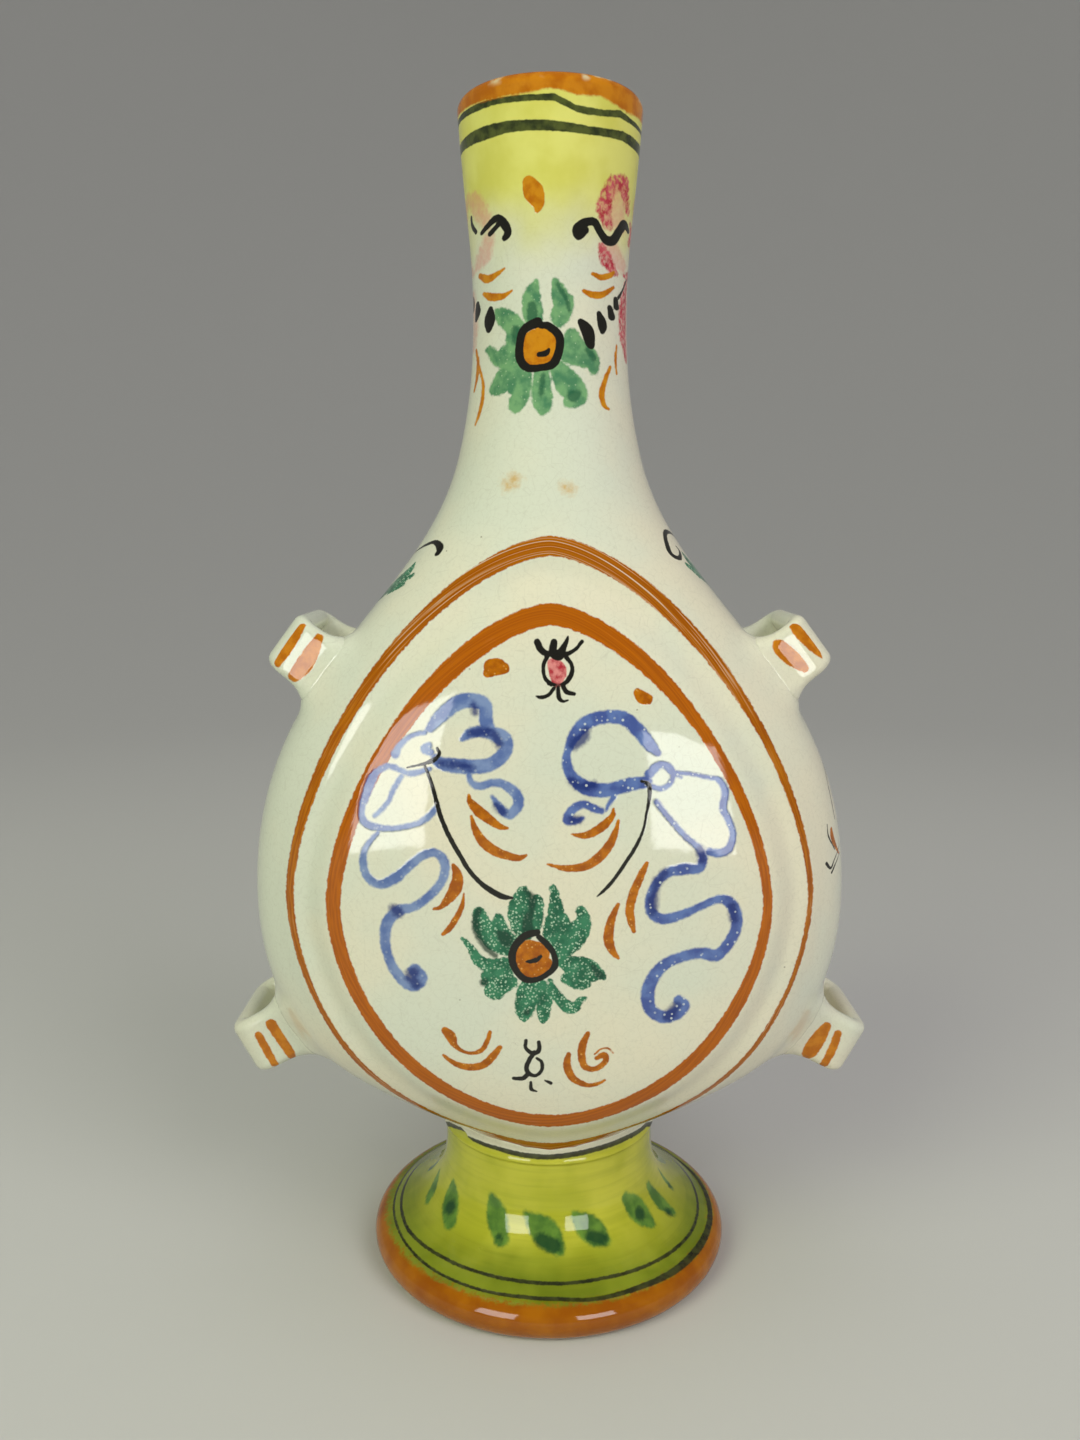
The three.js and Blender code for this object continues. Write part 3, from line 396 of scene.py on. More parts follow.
# On the lugs it is given out of the body and along its outline
LUG_STROKES = {
    "lug_upper_left": [[(8.1, 5, 0.9), (7.9, 2, 1.3), (7.7, -1.3, 1.35), (7.5, -4, 1)],
                       [(3.7, 4.6, 0.9), (3.3, 2, 1.4), (3, -1.2, 1.7), (3.3, -4.1, 1.2)]],
    "lug_upper_right": [[(7.2, 5, 1), (7.4, 3.4, 1.35), (7.9, 0.6, 1.35), (8.3, -2.2, 1), (8.4, -3.4, 0.5)],
                        [(2.4, 4.2, 0.9), (2.6, 3, 1.5), (3.2, 0.2, 1.5), (3.9, -2.4, 0.9),
                         (4.2, -3.2, 0.4)]],
    "lug_lower_left": [[(3.1, 2.9, 1.21), (3, -1.1, 1.11), (2.9, -4, 1.01), (3.3, -5.7, 0.61)],
                       [(6.6, 2.1, 0.8), (6.8, -1.5, 0.85), (7, -4.9, 0.75)]],
    "lug_lower_right": [[(3.1, 2.4, 1.01), (3, -0.6, 1.62), (2.9, -3.6, 1.62), (3.1, -5, 0.9)],
                        [(6.1, 2.1, 0.81), (6.8, -1.5, 0.91), (7, -4.9, 0.81)]],
}
# Lines drawn round the neck and foot while they turned on the wheel: degrees, height, half width
LIP_EDGE = [(-77, 227.6), (-49, 227.3), (-33, 227), (-19, 227.1), (-10, 227.3), (-2, 227.7), (4, 227.6),
            (13, 226.9), (22, 226.9), (30, 227.2), (40, 226.6), (52, 226), (68, 226.4), (120, 227),
            (180, 227.3)]
NECK_LINES = [
    [(-72, 226.7, 0.55), (-49, 226.6, 0.63), (-33, 226.6, 0.53), (-20, 226.4, 0.53), (-8, 226.3, 0.52),
     (2, 226.3, 0.61), (8, 225.5, 0.61), (15, 224.7, 0.53), (22, 224.5, 0.62), (33, 224.6, 0.53),
     (46, 225.3, 0.63), (57, 224.9, 0.45), (75, 224.8, 0.37), (130, 225.2, 0.5), (180, 226, 0.55)],
    [(-72, 222, 0.93), (-56, 222, 1.09), (-42, 222, 1.16), (-27, 222.1, 0.97), (-14, 222, 0.88),
     (-2, 221.8, 0.88), (10, 221.6, 0.79), (23, 221.4, 0.71), (37, 221.6, 0.71), (50, 221.9, 0.81),
     (65, 221.7, 0.92), (180, 221.8, 0.9)],
]
FOOT_LINES = [
    [(-65, 8.5, 0.36), (-44, 8.9, 0.36), (-26, 9, 0.34), (-10, 9, 0.4), (4, 8.9, 0.36), (18, 8.9, 0.36),
     (34, 8.7, 0.36), (49, 8.5, 0.36), (65, 8.3, 0.32), (180, 8.6, 0.36)],
    [(-69, 7.6, 0.28), (-44, 7.4, 0.3), (-23, 7.4, 0.34), (-10, 7.5, 0.4), (3, 7.4, 0.48),
     (16, 7.3, 0.5), (30, 7.3, 0.6), (43, 7.2, 0.72), (61, 7.2, 0.78), (77, 7.2, 0.6), (120, 7.4, 0.36),
     (180, 7.4, 0.3)],
]
SADDLE_LINE = [(-180, 30, 0.5), (-135, 30.5, 0.5), (-117, 29.3, 0.5), (-90, 25.6, 0.5), (-68, 29.4, 0.5),
               (-54, 31, 0.4), (-50, 31, 0.05), (-48, 30.2, 0.2), (-43, 30.2, 0.4), (-27, 30.3, 0.5),
               (-10, 30, 0.59), (0, 30, 0.59), (13, 30.3, 0.59), (27, 30.5, 0.6), (44, 30.5, 0.61),
               (65, 29.9, 0.52), (90, 25.6, 0.5), (117, 29.6, 0.5), (135, 30.5, 0.5), (180, 30, 0.5)]
# Half widths of the two painted rings round a medallion, by degrees from its top
OUTER_RING = [(-180, 2.1), (-170, 1.5), (-158, 0.9), (-118, 0.62), (-90, 0.85), (-49, 1.1), (-25, 1.3),
              (0, 1.8), (30, 1.4), (49, 0.9), (90, 0.58), (118, 0.55), (140, 0.6), (158, 0.9), (170, 1.5)]
INNER_RING = [(-180, 1.5), (-118, 1.4), (-90, 1.45), (-41, 1.5), (-15, 1.9), (0, 1.95), (15, 1.7),
              (40, 1.15), (90, 0.92), (118, 1.35), (150, 1.5)]


def smoothstep(value, low, high):
    t = np.clip((value - low) / (high - low), 0, 1)
    return t * t * (3 - 2 * t)


def bezier(*corners, steps=60):
    """Points of a cubic curve of radius and height."""
    a, b, c, d = (np.array(p, float) for p in corners)
    t = np.linspace(0, 1, steps + 1)[:, None]
    return a * (1 - t) ** 3 + 3 * b * t * (1 - t) ** 2 + 3 * c * t * t * (1 - t) + d * t ** 3


def arc(center, radius, start, end, steps):
    turn = np.radians(np.linspace(start, end, steps + 1))
    return np.stack([center[0] + radius * np.cos(turn), center[1] + radius * np.sin(turn)], 1)


def run_of(line):
    """Length along a line, at each of its points."""
    return np.concatenate([[0], np.cumsum(np.linalg.norm(np.diff(line, axis=0), axis=1))])


def even(line, spacing):
    """The same line with points at even distances."""
    along = run_of(line)
    want = np.linspace(0, along[-1], max(2, int(round(along[-1] / spacing)) + 1))
    return np.stack([np.interp(want, along, line[:, i]) for i in range(line.shape[1])], 1)


def body_outline(half, side, bottom, belly, collar):
    """Half width or half depth of the body, from the underside's middle up to the collar.

    The last four are the lengths of the two curves' handles, as shares of the height or the half."""
    rise, lift = BELLY - FOOT_TOP, COLLAR - BELLY
    under = bezier((half, BELLY), (half, BELLY - side * rise),
                   (half * bottom, FOOT_TOP), (0, FOOT_TOP), steps=600)
    over = bezier((half, BELLY), (half, BELLY + belly * lift),
                  (COLLAR_RADIUS + COLLAR_TAPER * collar * lift, COLLAR - collar * lift),
                  (COLLAR_RADIUS, COLLAR), steps=600)
    return np.vstack([under[::-1], over[1:]])


WIDTH_LINE = body_outline(BELLY_WIDTH / 2, side=0.584, bottom=0.635, belly=0.525, collar=0.34)
DEPTH_LINE = body_outline(BELLY_DEPTH / 2, side=0.93, bottom=0.84, belly=0.25, collar=0.58)


def half_at(line, z, least=0.0):
    return np.maximum(np.interp(z, line[:, 1], line[:, 0]), least)


def squareness(z):
    low = 1 - smoothstep(z, FOOT_TOP, FOOT_TOP + SQUARE_RISE)
    high = smoothstep(z, BELLY + (COLLAR - BELLY) / 3, COLLAR)
    return SQUARENESS - BOTTOM_LOSS * low - COLLAR_LOSS * high


def crest_level(x, z):
    """1 on the crest round a medallion, less inside it."""
    rise = z - CREST_LEVEL
    power = np.where(rise > 0, TOP_POWER, BOTTOM_POWER)
    across = np.abs(x) / CREST_HALF
    up = np.abs(rise) / np.where(rise > 0, CREST_TOP, CREST_BOTTOM)
    return (across ** power + up ** power) ** (1 / power)


def medallion_raise(x, z):
    outside = (crest_level(x, z) - 1) * CREST_HALF
    dome = DOME_RAISE * (1 - smoothstep(outside, -DOME_INSET, -VALLEY_INSET))
    return dome + CREST_RAISE * np.exp(-((outside / CREST_SPREAD) ** 2))


def raised(x, bare, z):
    """Depth of the skin, from the depth that it has without its medallions."""
    return bare + np.sign(bare) * smoothstep(np.abs(bare), 0, COLLAR_RADIUS) * medallion_raise(x, z)


def press_body(points):
    """Turned points, pressed to the flat egg shape with its two medallions."""
    x, y, z = points.T
    radius = np.maximum(np.hypot(x, y), 1e-9)
    across, deep, power = np.abs(x) / radius, np.abs(y) / radius, squareness(z)
    share = (across ** power + deep ** power) ** (-1 / power)
    x, y = half_at(WIDTH_LINE, z) * x / radius * share, half_at(DEPTH_LINE, z) * y / radius * share
    return np.stack([x, raised(x, y, z), z], 1)


def press_again(points):
    """Points cut into the pressed skin, put on it by their place across and up."""
    x, y, z = points.T
    power = squareness(z)
    across = np.abs(x) / half_at(WIDTH_LINE, z, least=0.05)
    inner = np.maximum(1 - across ** power, 0) ** (1 / power)
    return np.stack([x, raised(x, np.sign(y) * half_at(DEPTH_LINE, z) * inner, z), z], 1)


def body_fill(points):
    """1 on the body's skin, less inside it."""
    x, y, z = points.T
    power = squareness(z)
    bare = np.abs(y) - smoothstep(np.abs(y), 0, COLLAR_RADIUS) * medallion_raise(x, z)
    across = np.abs(x) / half_at(WIDTH_LINE, z, least=0.05)
    deep = np.maximum(bare, 0) / half_at(DEPTH_LINE, z, least=0.05)
    return (across ** power + deep ** power) ** (1 / power)


def slope_of(field, points, step=0.05):
    """Gradient of a field by small steps."""
    slope = np.zeros_like(points)
    for axis in range(points.shape[1]):
        move = np.zeros(points.shape[1])
        move[axis] = step
        slope[:, axis] = (field(points + move) - field(points - move)) / (2 * step)
    return slope


def body_distance(points):
    steepness = np.linalg.norm(slope_of(body_fill, points), axis=1)
    return (body_fill(points) - 1) / np.maximum(steepness, 1e-3)


def corner_distance(first, second):
    """Distance from a square corner, from the distances past its two sides; negative inside."""
    outside = np.hypot(np.maximum(first, 0), np.maximum(second, 0))
    return outside + np.minimum(np.maximum(first, second), 0)


# Lugs: side of the body, height on its outline, tilt from level and reach from the body
UPPER_LUG = (125.5, 37.0, 10.1)
LOWER_LUG = (52.5, -28.5, 12.2)
LUGS = {
    "lug_upper_right": (1, *UPPER_LUG),
    "lug_upper_left": (-1, *UPPER_LUG),
    "lug_lower_right": (1, *LOWER_LUG),
    "lug_lower_left": (-1, *LOWER_LUG),
}


def lug_frame(name):
    """Seat on the body's outline, the direction out of it, the direction along it and the reach."""
    side, height, tilt, reach = LUGS[name]
    turn = math.radians(tilt)
    seat = np.array([side * half_at(WIDTH_LINE, height), 0, height])
    out = np.array([side * math.cos(turn), 0, math.sin(turn)])
    along = np.array([-side * math.sin(turn), 0, math.cos(turn)])
    return seat, out, along, reach


def lug_local(name, points):
    """Places out of the body, across the strap's span and along the body's outline."""
    seat, out, along, _ = lug_frame(name)
    return np.stack([(points - seat) @ out, points[:, 1], (points - seat) @ along], 1)


def lug_distance(name, points):
    u, y, t = lug_local(name, points).T
    reach = LUGS[name][3]
    bend = LUG_CORNER - LUG_WALL / 2
    loop = corner_distance(u - (reach - LUG_CORNER), np.abs(y) - (LUG_SPAN / 2 - LUG_CORNER)) - bend
    thick = np.abs(loop) - LUG_WALL / 2 + LUG_EDGE
    wide = np.abs(t) - LUG_WIDTH / 2 + LUG_EDGE
    return np.maximum(corner_distance(thick, wide) - LUG_EDGE, -LUG_END - u)


# The foot's outline: a rolled rim, then a skirt that sweeps up to the stem
RIM_EDGE, RIM_TOP = FOOT_RADIUS - FOOT_ROLL, 2 * FOOT_ROLL
SKIRT_RUN, SKIRT_RISE = RIM_EDGE - STEM_RADIUS, STEM_FLARE - RIM_TOP
SKIRT = np.vstack([
    arc((RIM_EDGE, FOOT_ROLL), FOOT_ROLL, -90, 90, RIM_STEPS),
    bezier((RIM_EDGE, RIM_TOP), (RIM_EDGE - 0.45 * SKIRT_RUN, RIM_TOP + 0.2 * SKIRT_RISE),
           (STEM_RADIUS, STEM_FLARE - 0.65 * SKIRT_RISE), (STEM_RADIUS, STEM_FLARE))[1:],
])
SKIRT_SIDE, SKIRT_TOP = SKIRT[RIM_STEPS // 2:], SKIRT[RIM_STEPS:]


def from_axis(points):
    return np.hypot(points[:, 0], points[:, 1])


def stem_distance(points):
    """Distance outside the skirt and the stem, measured level."""
    return from_axis(points) - np.interp(points[:, 2], SKIRT_TOP[:, 1], SKIRT_TOP[:, 0])


def slip_fillet(points, normals, other, reach, rounds=6, sink=0.25, deepest=2.0):
    """Slip smoothed into a joint: the points move out along their normals to a rounded inner corner.

    Points that are hidden in the other piece sink by a share of their depth in it."""
    move = np.zeros(len(points))
    for _ in range(rounds):
        gap = other(points + normals * move[:, None]) - move
        short = np.clip(reach - np.maximum(gap, 0), 0, reach)
        move = short ** 2 / (4 * reach) - sink * np.clip(-gap, 0, deepest)
    return points + normals * move[:, None]


# Brushwork as depths inside the strokes
def drawn_line(points, steps=6):
    """A stroke's points joined by a smooth curve, with a number of steps from each to the next."""
    p = np.array(points if len(points) > 1 else points * 2, float)
    ends = np.vstack([2 * p[0] - p[1], p, 2 * p[-1] - p[-2]])
    t = np.linspace(0, 1, steps, endpoint=False)[:, None]
    spans = [0.5 * (2 * b + (c - a) * t + (2 * a - 5 * b + 4 * c - d) * t ** 2
                    + (3 * b - a - 3 * c + d) * t ** 3)
             for a, b, c, d in zip(ends, ends[1:], ends[2:], ends[3:])]
    return np.vstack(spans + [p[-1:]])


def brush_depth(spots, strokes):
    """How deep each spot lies inside the strokes, in millimetres, negative outside."""
    depth = np.full(len(spots), FAR_OFF)
    for stroke in strokes:
        line = drawn_line(stroke)
        low, high = line[:, :2].min(0) - BRUSH_REACH, line[:, :2].max(0) + BRUSH_REACH
        near = np.flatnonzero(((spots > low) & (spots < high)).all(1))
        here, best = spots[near], np.full(len(near), FAR_OFF)
        for start, end in zip(line, line[1:]):
            run = end - start
            t = np.clip((here - start[:2]) @ run[:2] / max(run[:2] @ run[:2], 1e-9), 0, 1)
            gap = np.hypot(*(here - start[:2] - t[:, None] * run[:2]).T)
            best = np.maximum(best, start[2] + t * run[2] - gap)
        depth[near] = np.maximum(depth[near], best)
    return depth


def wheel_line(degrees, points, column):
    """Height or half width of a line drawn round the ware, at each angle."""
    table = np.array(points, float)
    return np.interp(degrees, table[:, 0], table[:, column], period=360)


def wheel_depth(degrees, height, lines, up=np.asarray):
    """How deep each spot lies inside lines drawn round the ware; up turns heights to lengths."""
    return np.max([wheel_line(degrees, line, 2) - np.abs(up(height) - up(wheel_line(degrees, line, 1)))
                   for line in lines], axis=0)


def ring_offset(x, z, level):
    """Distance outside a ring that lies at one level of the medallion's crest."""
    spots = np.stack([x, z], 1)
    slope = np.linalg.norm(slope_of(lambda p: crest_level(p[:, 0], p[:, 1]), spots), axis=1)
    return (crest_level(x, z) - level) / np.maximum(slope, 0.005)


def body_brushwork(points):
    """Depth inside each colour's strokes on the body, front, back and sides."""
    x, y, z = points.T
    front = np.stack([np.where(y > 0, -x, x), z], 1)
    side = np.stack([np.abs(y), z], 1)
    depths = {colour: brush_depth(front, strokes) for colour, strokes in BODY_STROKES.items()}
    narrow = (np.abs(y) < SIDE_DEPTH) & (np.abs(x) > SIDE_START)
    for table, half in ((SIDE_STROKES, narrow), (LEFT_STROKES, x * y > 0), (RIGHT_STROKES, x * y < 0)):
        where = narrow & half
        for colour, strokes in table.items():
            depths[colour][where] = np.maximum(depths[colour][where], brush_depth(side[where], strokes))
    return depths


# Modelling
def work_on(piece):
    bpy.ops.object.select_all(action="DESELECT")
    piece.select_set(True)
    bpy.context.view_layer.objects.active = piece


def read(items, name, kind=float, width=1):
    flat = np.empty(len(items) * width, np.int32 if kind is int else bool if kind is bool else np.float32)
    items.foreach_get(name, flat)
    return flat if width == 1 else flat.reshape(-1, width)


def places(piece):
    return read(piece.data.vertices, "co", width=3).astype(float) / MM


def normals_of(piece):
    return read(piece.data.vertices, "normal", width=3).astype(float)


def put(piece, points):
    piece.data.vertices.foreach_set("co", (points * MM).astype(np.float32).ravel())
    piece.data.update()


def face_values(piece, values, pick):
    """The least or greatest value among each face's corners."""
    corners = values[read(piece.data.loops, "vertex_index", int)]
    return pick.reduceat(corners, read(piece.data.polygons, "loop_start", int))


def choose_faces(piece, chosen):
    """Selects faces and goes on in edit mode."""
    work_on(piece)
    bpy.ops.object.mode_set(mode="EDIT")
    bpy.ops.mesh.select_mode(type="FACE")
    bpy.ops.mesh.select_all(action="DESELECT")
    bpy.ops.object.mode_set(mode="OBJECT")
    piece.data.polygons.foreach_set("select", chosen)
    bpy.ops.object.mode_set(mode="EDIT")


def sheet(name, columns, rows):
    """A flat grid, with each point's share of the way across and its row."""
    bpy.ops.object.select_all(action="DESELECT")
    bpy.ops.mesh.primitive_grid_add(x_subdivisions=columns, y_subdivisions=rows, size=1)
    piece = bpy.context.object
    piece.name = piece.data.name = name
    across, up, _ = places(piece).T * MM + 0.5
    return piece, across, np.rint(up * rows).astype(int)


def sewn(piece, capped=False):
    """Joins the sheet's edges where they meet, caps its ends and turns its faces outwards."""
    bpy.ops.object.mode_set(mode="EDIT")
    bpy.ops.mesh.select_all(action="SELECT")
    bpy.ops.mesh.remove_doubles(threshold=WELD * MM)
    if capped:
        bpy.ops.mesh.fill_holes(sides=0)
    bpy.ops.mesh.normals_make_consistent(inside=False)
    bpy.ops.object.mode_set(mode="OBJECT")
    bpy.ops.object.shade_smooth()
    return piece


def rolled(name, line, steps):
    """A sheet rolled up round the Z axis, along a line of radius and height."""
    piece, across, row = sheet(name, steps, len(line) - 1)
    turn = 2 * np.pi * across
    radius, height = line[row].T
    put(piece, np.stack([radius * np.cos(turn), radius * np.sin(turn), height], 1))
    return sewn(piece)


def pressed_skin(name, steps, spacing):
    """The body's skin, rolled and then pressed flat in the mould."""
    levels = even(DEPTH_LINE, spacing)
    profile = np.stack([half_at(WIDTH_LINE, levels[:, 1]), levels[:, 1]], 1)
    profile[0, 0] = 0
    skin = rolled(name, profile, steps)
    put(skin, press_body(places(skin)))
    return skin


def refine(skin):
    """Cuts the skin finer where the brushwork's edges run over it."""
    for reach in STROKE_EDGES:
        points = places(skin)
        depth = np.max(list(body_brushwork(points).values()), axis=0)
        most, least = face_values(skin, depth, np.maximum), face_values(skin, depth, np.minimum)
        low = face_values(skin, points[:, 2], np.minimum)
        choose_faces(skin, (most > -reach) & (least < reach) & (low > LOWEST_STROKE))
        bpy.ops.mesh.subdivide(number_cuts=1)
        bpy.ops.object.mode_set(mode="OBJECT")
        points = places(skin)
        bent = (np.abs(points[:, 1]) > SEAM_STRIP) & (points[:, 2] > LOWEST_STROKE)
        points[bent] = press_again(points[bent])
        put(skin, points)


def lining_of(name):
    """The inside of the body, one wall in from the skin."""
    lining = pressed_skin(name, LINING_STEPS, LINING_SPACING)
    inner = places(lining) - BODY_WALL * normals_of(lining)
    inner[inner[:, 2] > COLLAR - 0.8, 2] = COLLAR  # its top ring is brought up to the collar
    put(lining, inner)
    bpy.ops.object.mode_set(mode="EDIT")
    bpy.ops.mesh.select_all(action="SELECT")
    bpy.ops.mesh.flip_normals()
    bpy.ops.object.mode_set(mode="OBJECT")
    return lining


def parted(whole, name):
    """The half behind the seam, cut off as a piece of its own."""
    choose_faces(whole, read(whole.data.polygons, "center", width=3)[:, 1] > 0)
    bpy.ops.mesh.separate(type="SELECTED")
    bpy.ops.object.mode_set(mode="OBJECT")
    back = [o for o in bpy.context.selected_objects if o is not whole][0]
    back.name = back.data.name = name
    return back


def close_wall(half):
    """Joins skin and lining along the seam and under the neck."""
    for under_neck in (False, True):
        work_on(half)
        bpy.ops.object.mode_set(mode="EDIT")
        bpy.ops.mesh.select_mode(type="EDGE")
        bpy.ops.mesh.select_all(action="SELECT")
        bpy.ops.mesh.region_to_loop()
        bpy.ops.object.mode_set(mode="OBJECT")
        ends = places(half)[read(half.data.edges, "vertices", int, 2)]
        wanted = (ends[:, :, 2].min(1) > COLLAR - WELD) == under_neck
        half.data.edges.foreach_set("select", read(half.data.edges, "select", bool) & wanted)
        bpy.ops.object.mode_set(mode="EDIT")
        bpy.ops.mesh.mark_sharp()
        bpy.ops.mesh.bridge_edge_loops()
        bpy.ops.object.mode_set(mode="OBJECT")


def strap(name):
    """A strap bent to a loop, its legs running on into the body."""
    seat, out, along, reach = lug_frame(name)
    bend = LUG_CORNER - LUG_WALL / 2
    leg, top = LUG_SPAN / 2 - LUG_WALL / 2, reach - LUG_WALL / 2
    path = even(np.vstack([
        [(-LUG_ROOT, -leg)],
        arc((top - bend, bend - leg), bend, -90, 0, BEND_STEPS),
        arc((top - bend, leg - bend), bend, 0, 90, BEND_STEPS),
        [(-LUG_ROOT, leg)],
    ]), STRAP_SPACING)
    tangent = np.gradient(path, axis=0)
    tangent /= np.linalg.norm(tangent, axis=1)[:, None]
    outward = np.stack([tangent[:, 1], -tangent[:, 0]], 1)
    thick, wide = LUG_WALL / 2 - LUG_EDGE, LUG_WIDTH / 2 - LUG_EDGE
    corners = [(thick, wide), (-thick, wide), (-thick, -wide), (thick, -wide)]
    edges = [arc(corner, LUG_EDGE, 90 * i, 90 * i + 90, EDGE_STEPS) for i, corner in enumerate(corners)]
    section = even(np.vstack(edges + [[(thick + LUG_EDGE, wide)]]), STRAP_SPACING)
    piece, across, row = sheet("glazed_" + name, len(section) - 1, len(path) - 1)
    column = np.rint(across * (len(section) - 1)).astype(int)
    level = path[row] + outward[row] * section[column, :1]
    deep = np.array([0, 1.0, 0])
    put(piece, seat + level[:, :1] * out + level[:, 1:] * deep + section[column, 1:] * along)
    sewn(piece, capped=True)
    put(piece, slip_fillet(places(piece), normals_of(piece), body_distance, LUG_SLIP))
    return piece


def neck_line():
    """Up the neck's outside, over the lip and down the bore; the shares are the curves' handles."""
    rim, lift, flare = LIP - NECK_WALL / 2, NECK_WAIST - COLLAR, LIP - NECK_WAIST
    sweep, draw, climb, spread = 0.42 * lift, 0.25 * lift, 0.3 * flare, 0.5 * flare

    def side(inset, wall):
        base, waist, top = COLLAR_RADIUS - wall, NECK_RADIUS - inset, LIP_RADIUS - inset
        return np.vstack([
            bezier((base, COLLAR), (base - COLLAR_TAPER * sweep, COLLAR + sweep),
                   (waist, NECK_WAIST - draw), (waist, NECK_WAIST)),
            bezier((waist, NECK_WAIST), (waist, NECK_WAIST + climb),
                   (top - LIP_TAPER * spread, rim - spread), (top, rim))[1:],
        ])

    lip = arc((LIP_RADIUS - NECK_WALL / 2, rim), NECK_WALL / 2, 0, 180, LIP_STEPS)[1:-1]
    bore = even(side(NECK_WALL, BODY_WALL), BORE_SPACING)[::-1]
    return np.vstack([even(side(0, 0), NECK_SPACING), lip, bore])


def foot_line():
    """Round the rim, up the skirt and the stem, and down the hollow inside."""
    bore, ring = STEM_RADIUS - FOOT_WALL, RIM_EDGE - FOOT_RING
    stem = even(np.array([(STEM_RADIUS, STEM_FLARE), (STEM_RADIUS, STEM_TOP)]), FOOT_SPACING)[1:]
    hollow = bezier((bore, STEM_FLARE), (bore, 0.55 * STEM_FLARE), (ring, 0.35 * STEM_FLARE), (ring, 0),
                    steps=HOLLOW_STEPS)
    return np.vstack([[(ring, 0)], even(SKIRT, FOOT_SPACING), stem, [(bore, STEM_TOP)], hollow])


def lute_body(skin):
    """Slip fillets on the body round the lugs and the stem."""
    moved, facing = places(skin), normals_of(skin)
    for node in LUGS:
        near = lug_distance(node, moved) < 3 * LUG_SLIP
        moved[near] = slip_fillet(moved[near], facing[near], lambda p: lug_distance(node, p), LUG_SLIP)
    near = (moved[:, 2] < SADDLE_HIGH) & (from_axis(moved) < SADDLE_WIDE)
    moved[near] = slip_fillet(moved[near], facing[near], stem_distance, FOOT_SLIP)
    put(skin, moved)


def lute_foot(foot):
    """The same slip fillet on the foot's stem."""
    moved, facing = places(foot), normals_of(foot)
    near = (moved[:, 2] > SADDLE_LOW) & (from_axis(moved) > STEM_RADIUS - 1)  # not in the hollow
    moved[near] = slip_fillet(moved[near], facing[near], body_distance, FOOT_SLIP)
    put(foot, moved)


front = pressed_skin("glazed_body_front", SKIN_STEPS, SKIN_SPACING)
refine(front)
lute_body(front)
lining = lining_of("lining")
work_on(front)
lining.select_set(True)
bpy.ops.object.join()
back = parted(front, "glazed_body_back")
close_wall(front)
close_wall(back)
neck = rolled("glazed_neck", neck_line(), WHEEL_STEPS)
foot = rolled("glazed_foot", foot_line(), WHEEL_STEPS)
lute_foot(foot)
pieces = {"body_front": front, "body_back": back, "neck": neck, "foot": foot}
pieces.update({node: strap(node) for node in LUGS})
slots = {"body_front": "glaze_body", "body_back": "glaze_body", "neck": "glaze_neck", "foot": "glaze_foot"}
for node, piece in pieces.items():
    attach(piece, "root")
    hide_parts(node)


# Brushwork kept on the pieces for the glazes to read
def keep(piece, depths):
    for name, values in depths.items():
        layer = piece.data.attributes.new(name, "FLOAT", "POINT")
        layer.data.foreach_set("value", np.asarray(values, np.float32))


def round_the_front(points):
    """Degrees from the front, to the right, and degrees from the back."""
    degrees = np.degrees(np.arctan2(points[:, 0], -points[:, 1]))
    return degrees, degrees % 360 - 180


def across_neck(degrees):
    """Distance across the neck as seen from the front, going on evenly round its sides."""
    shown = np.clip(degrees, -NECK_SEEN, NECK_SEEN)
    return NECK_MEAN * (np.sin(np.radians(shown)) + 0.5 * np.radians(degrees - shown))


def unrolled(strokes, across, up):
    """Strokes given in degrees and heights, laid out flat."""
    return [[(across(turn), up(height), half) for turn, height, half in stroke] for stroke in strokes]


def paint_body(half):
    points = places(half)
    x, y, z = points.T
    bare = np.where(body_distance(points) < -SKIN_DEPTH, BARE, 0.0)
    seen = np.where(y > 0, -x, x)
    degrees = np.degrees(np.arctan2(seen, z - CREST_LEVEL))
    depths = {colour: depth - bare for colour, depth in body_brushwork(points).items()}
    off_rings = bare + np.where(np.abs(y) > RING_DEPTH, 0, BARE)
    for ring, level, halves in (("outer", 1.0, OUTER_RING), ("inner", INNER_LEVEL, INNER_RING)):
        depths[ring + "_ring"] = ring_offset(seen, z, level) + off_rings
        depths[ring + "_half"] = wheel_line(degrees, halves, 1)
    keep(half, depths)


def paint_neck(neck):
    points = places(neck)
    degrees, behind = round_the_front(points)
    z = points[:, 2]
    outside = np.interp(z, [COLLAR, NECK_WAIST, LIP], [COLLAR_RADIUS, NECK_RADIUS, LIP_RADIUS])
    bare = np.where(from_axis(points) < outside - NECK_WALL / 2, BARE, 0.0)

    def painted(strokes, turn):
        spots = np.stack([across_neck(turn), z], 1)
        return brush_depth(spots, unrolled(strokes, across_neck, float)) - bare

    depths = {}
    for colour, strokes in NECK_STROKES.items():
        depths[colour] = np.maximum(painted(strokes, degrees), painted(strokes, behind))
    for colour, strokes in NECK_BLOOMS.items():
        depths[colour] = np.maximum(depths.get(colour, -BARE), painted(strokes, degrees))
    depths["olive"] = wheel_depth(degrees, z, NECK_LINES) - bare
    depths["lip"] = np.where(bare > 0, z - BORE_PAINT, z - wheel_line(degrees, LIP_EDGE, 1))
    depths["inside"] = bare
    keep(neck, depths)


def up_skirt(height):
    """Length up the foot's outline, from the rim's widest point."""
    above = np.maximum(np.asarray(height, float) - STEM_FLARE, 0)
    return np.interp(height, SKIRT_SIDE[:, 1], run_of(SKIRT_SIDE)) + above


def round_skirt(degrees):
    return np.radians(degrees) * FOOT_MEAN


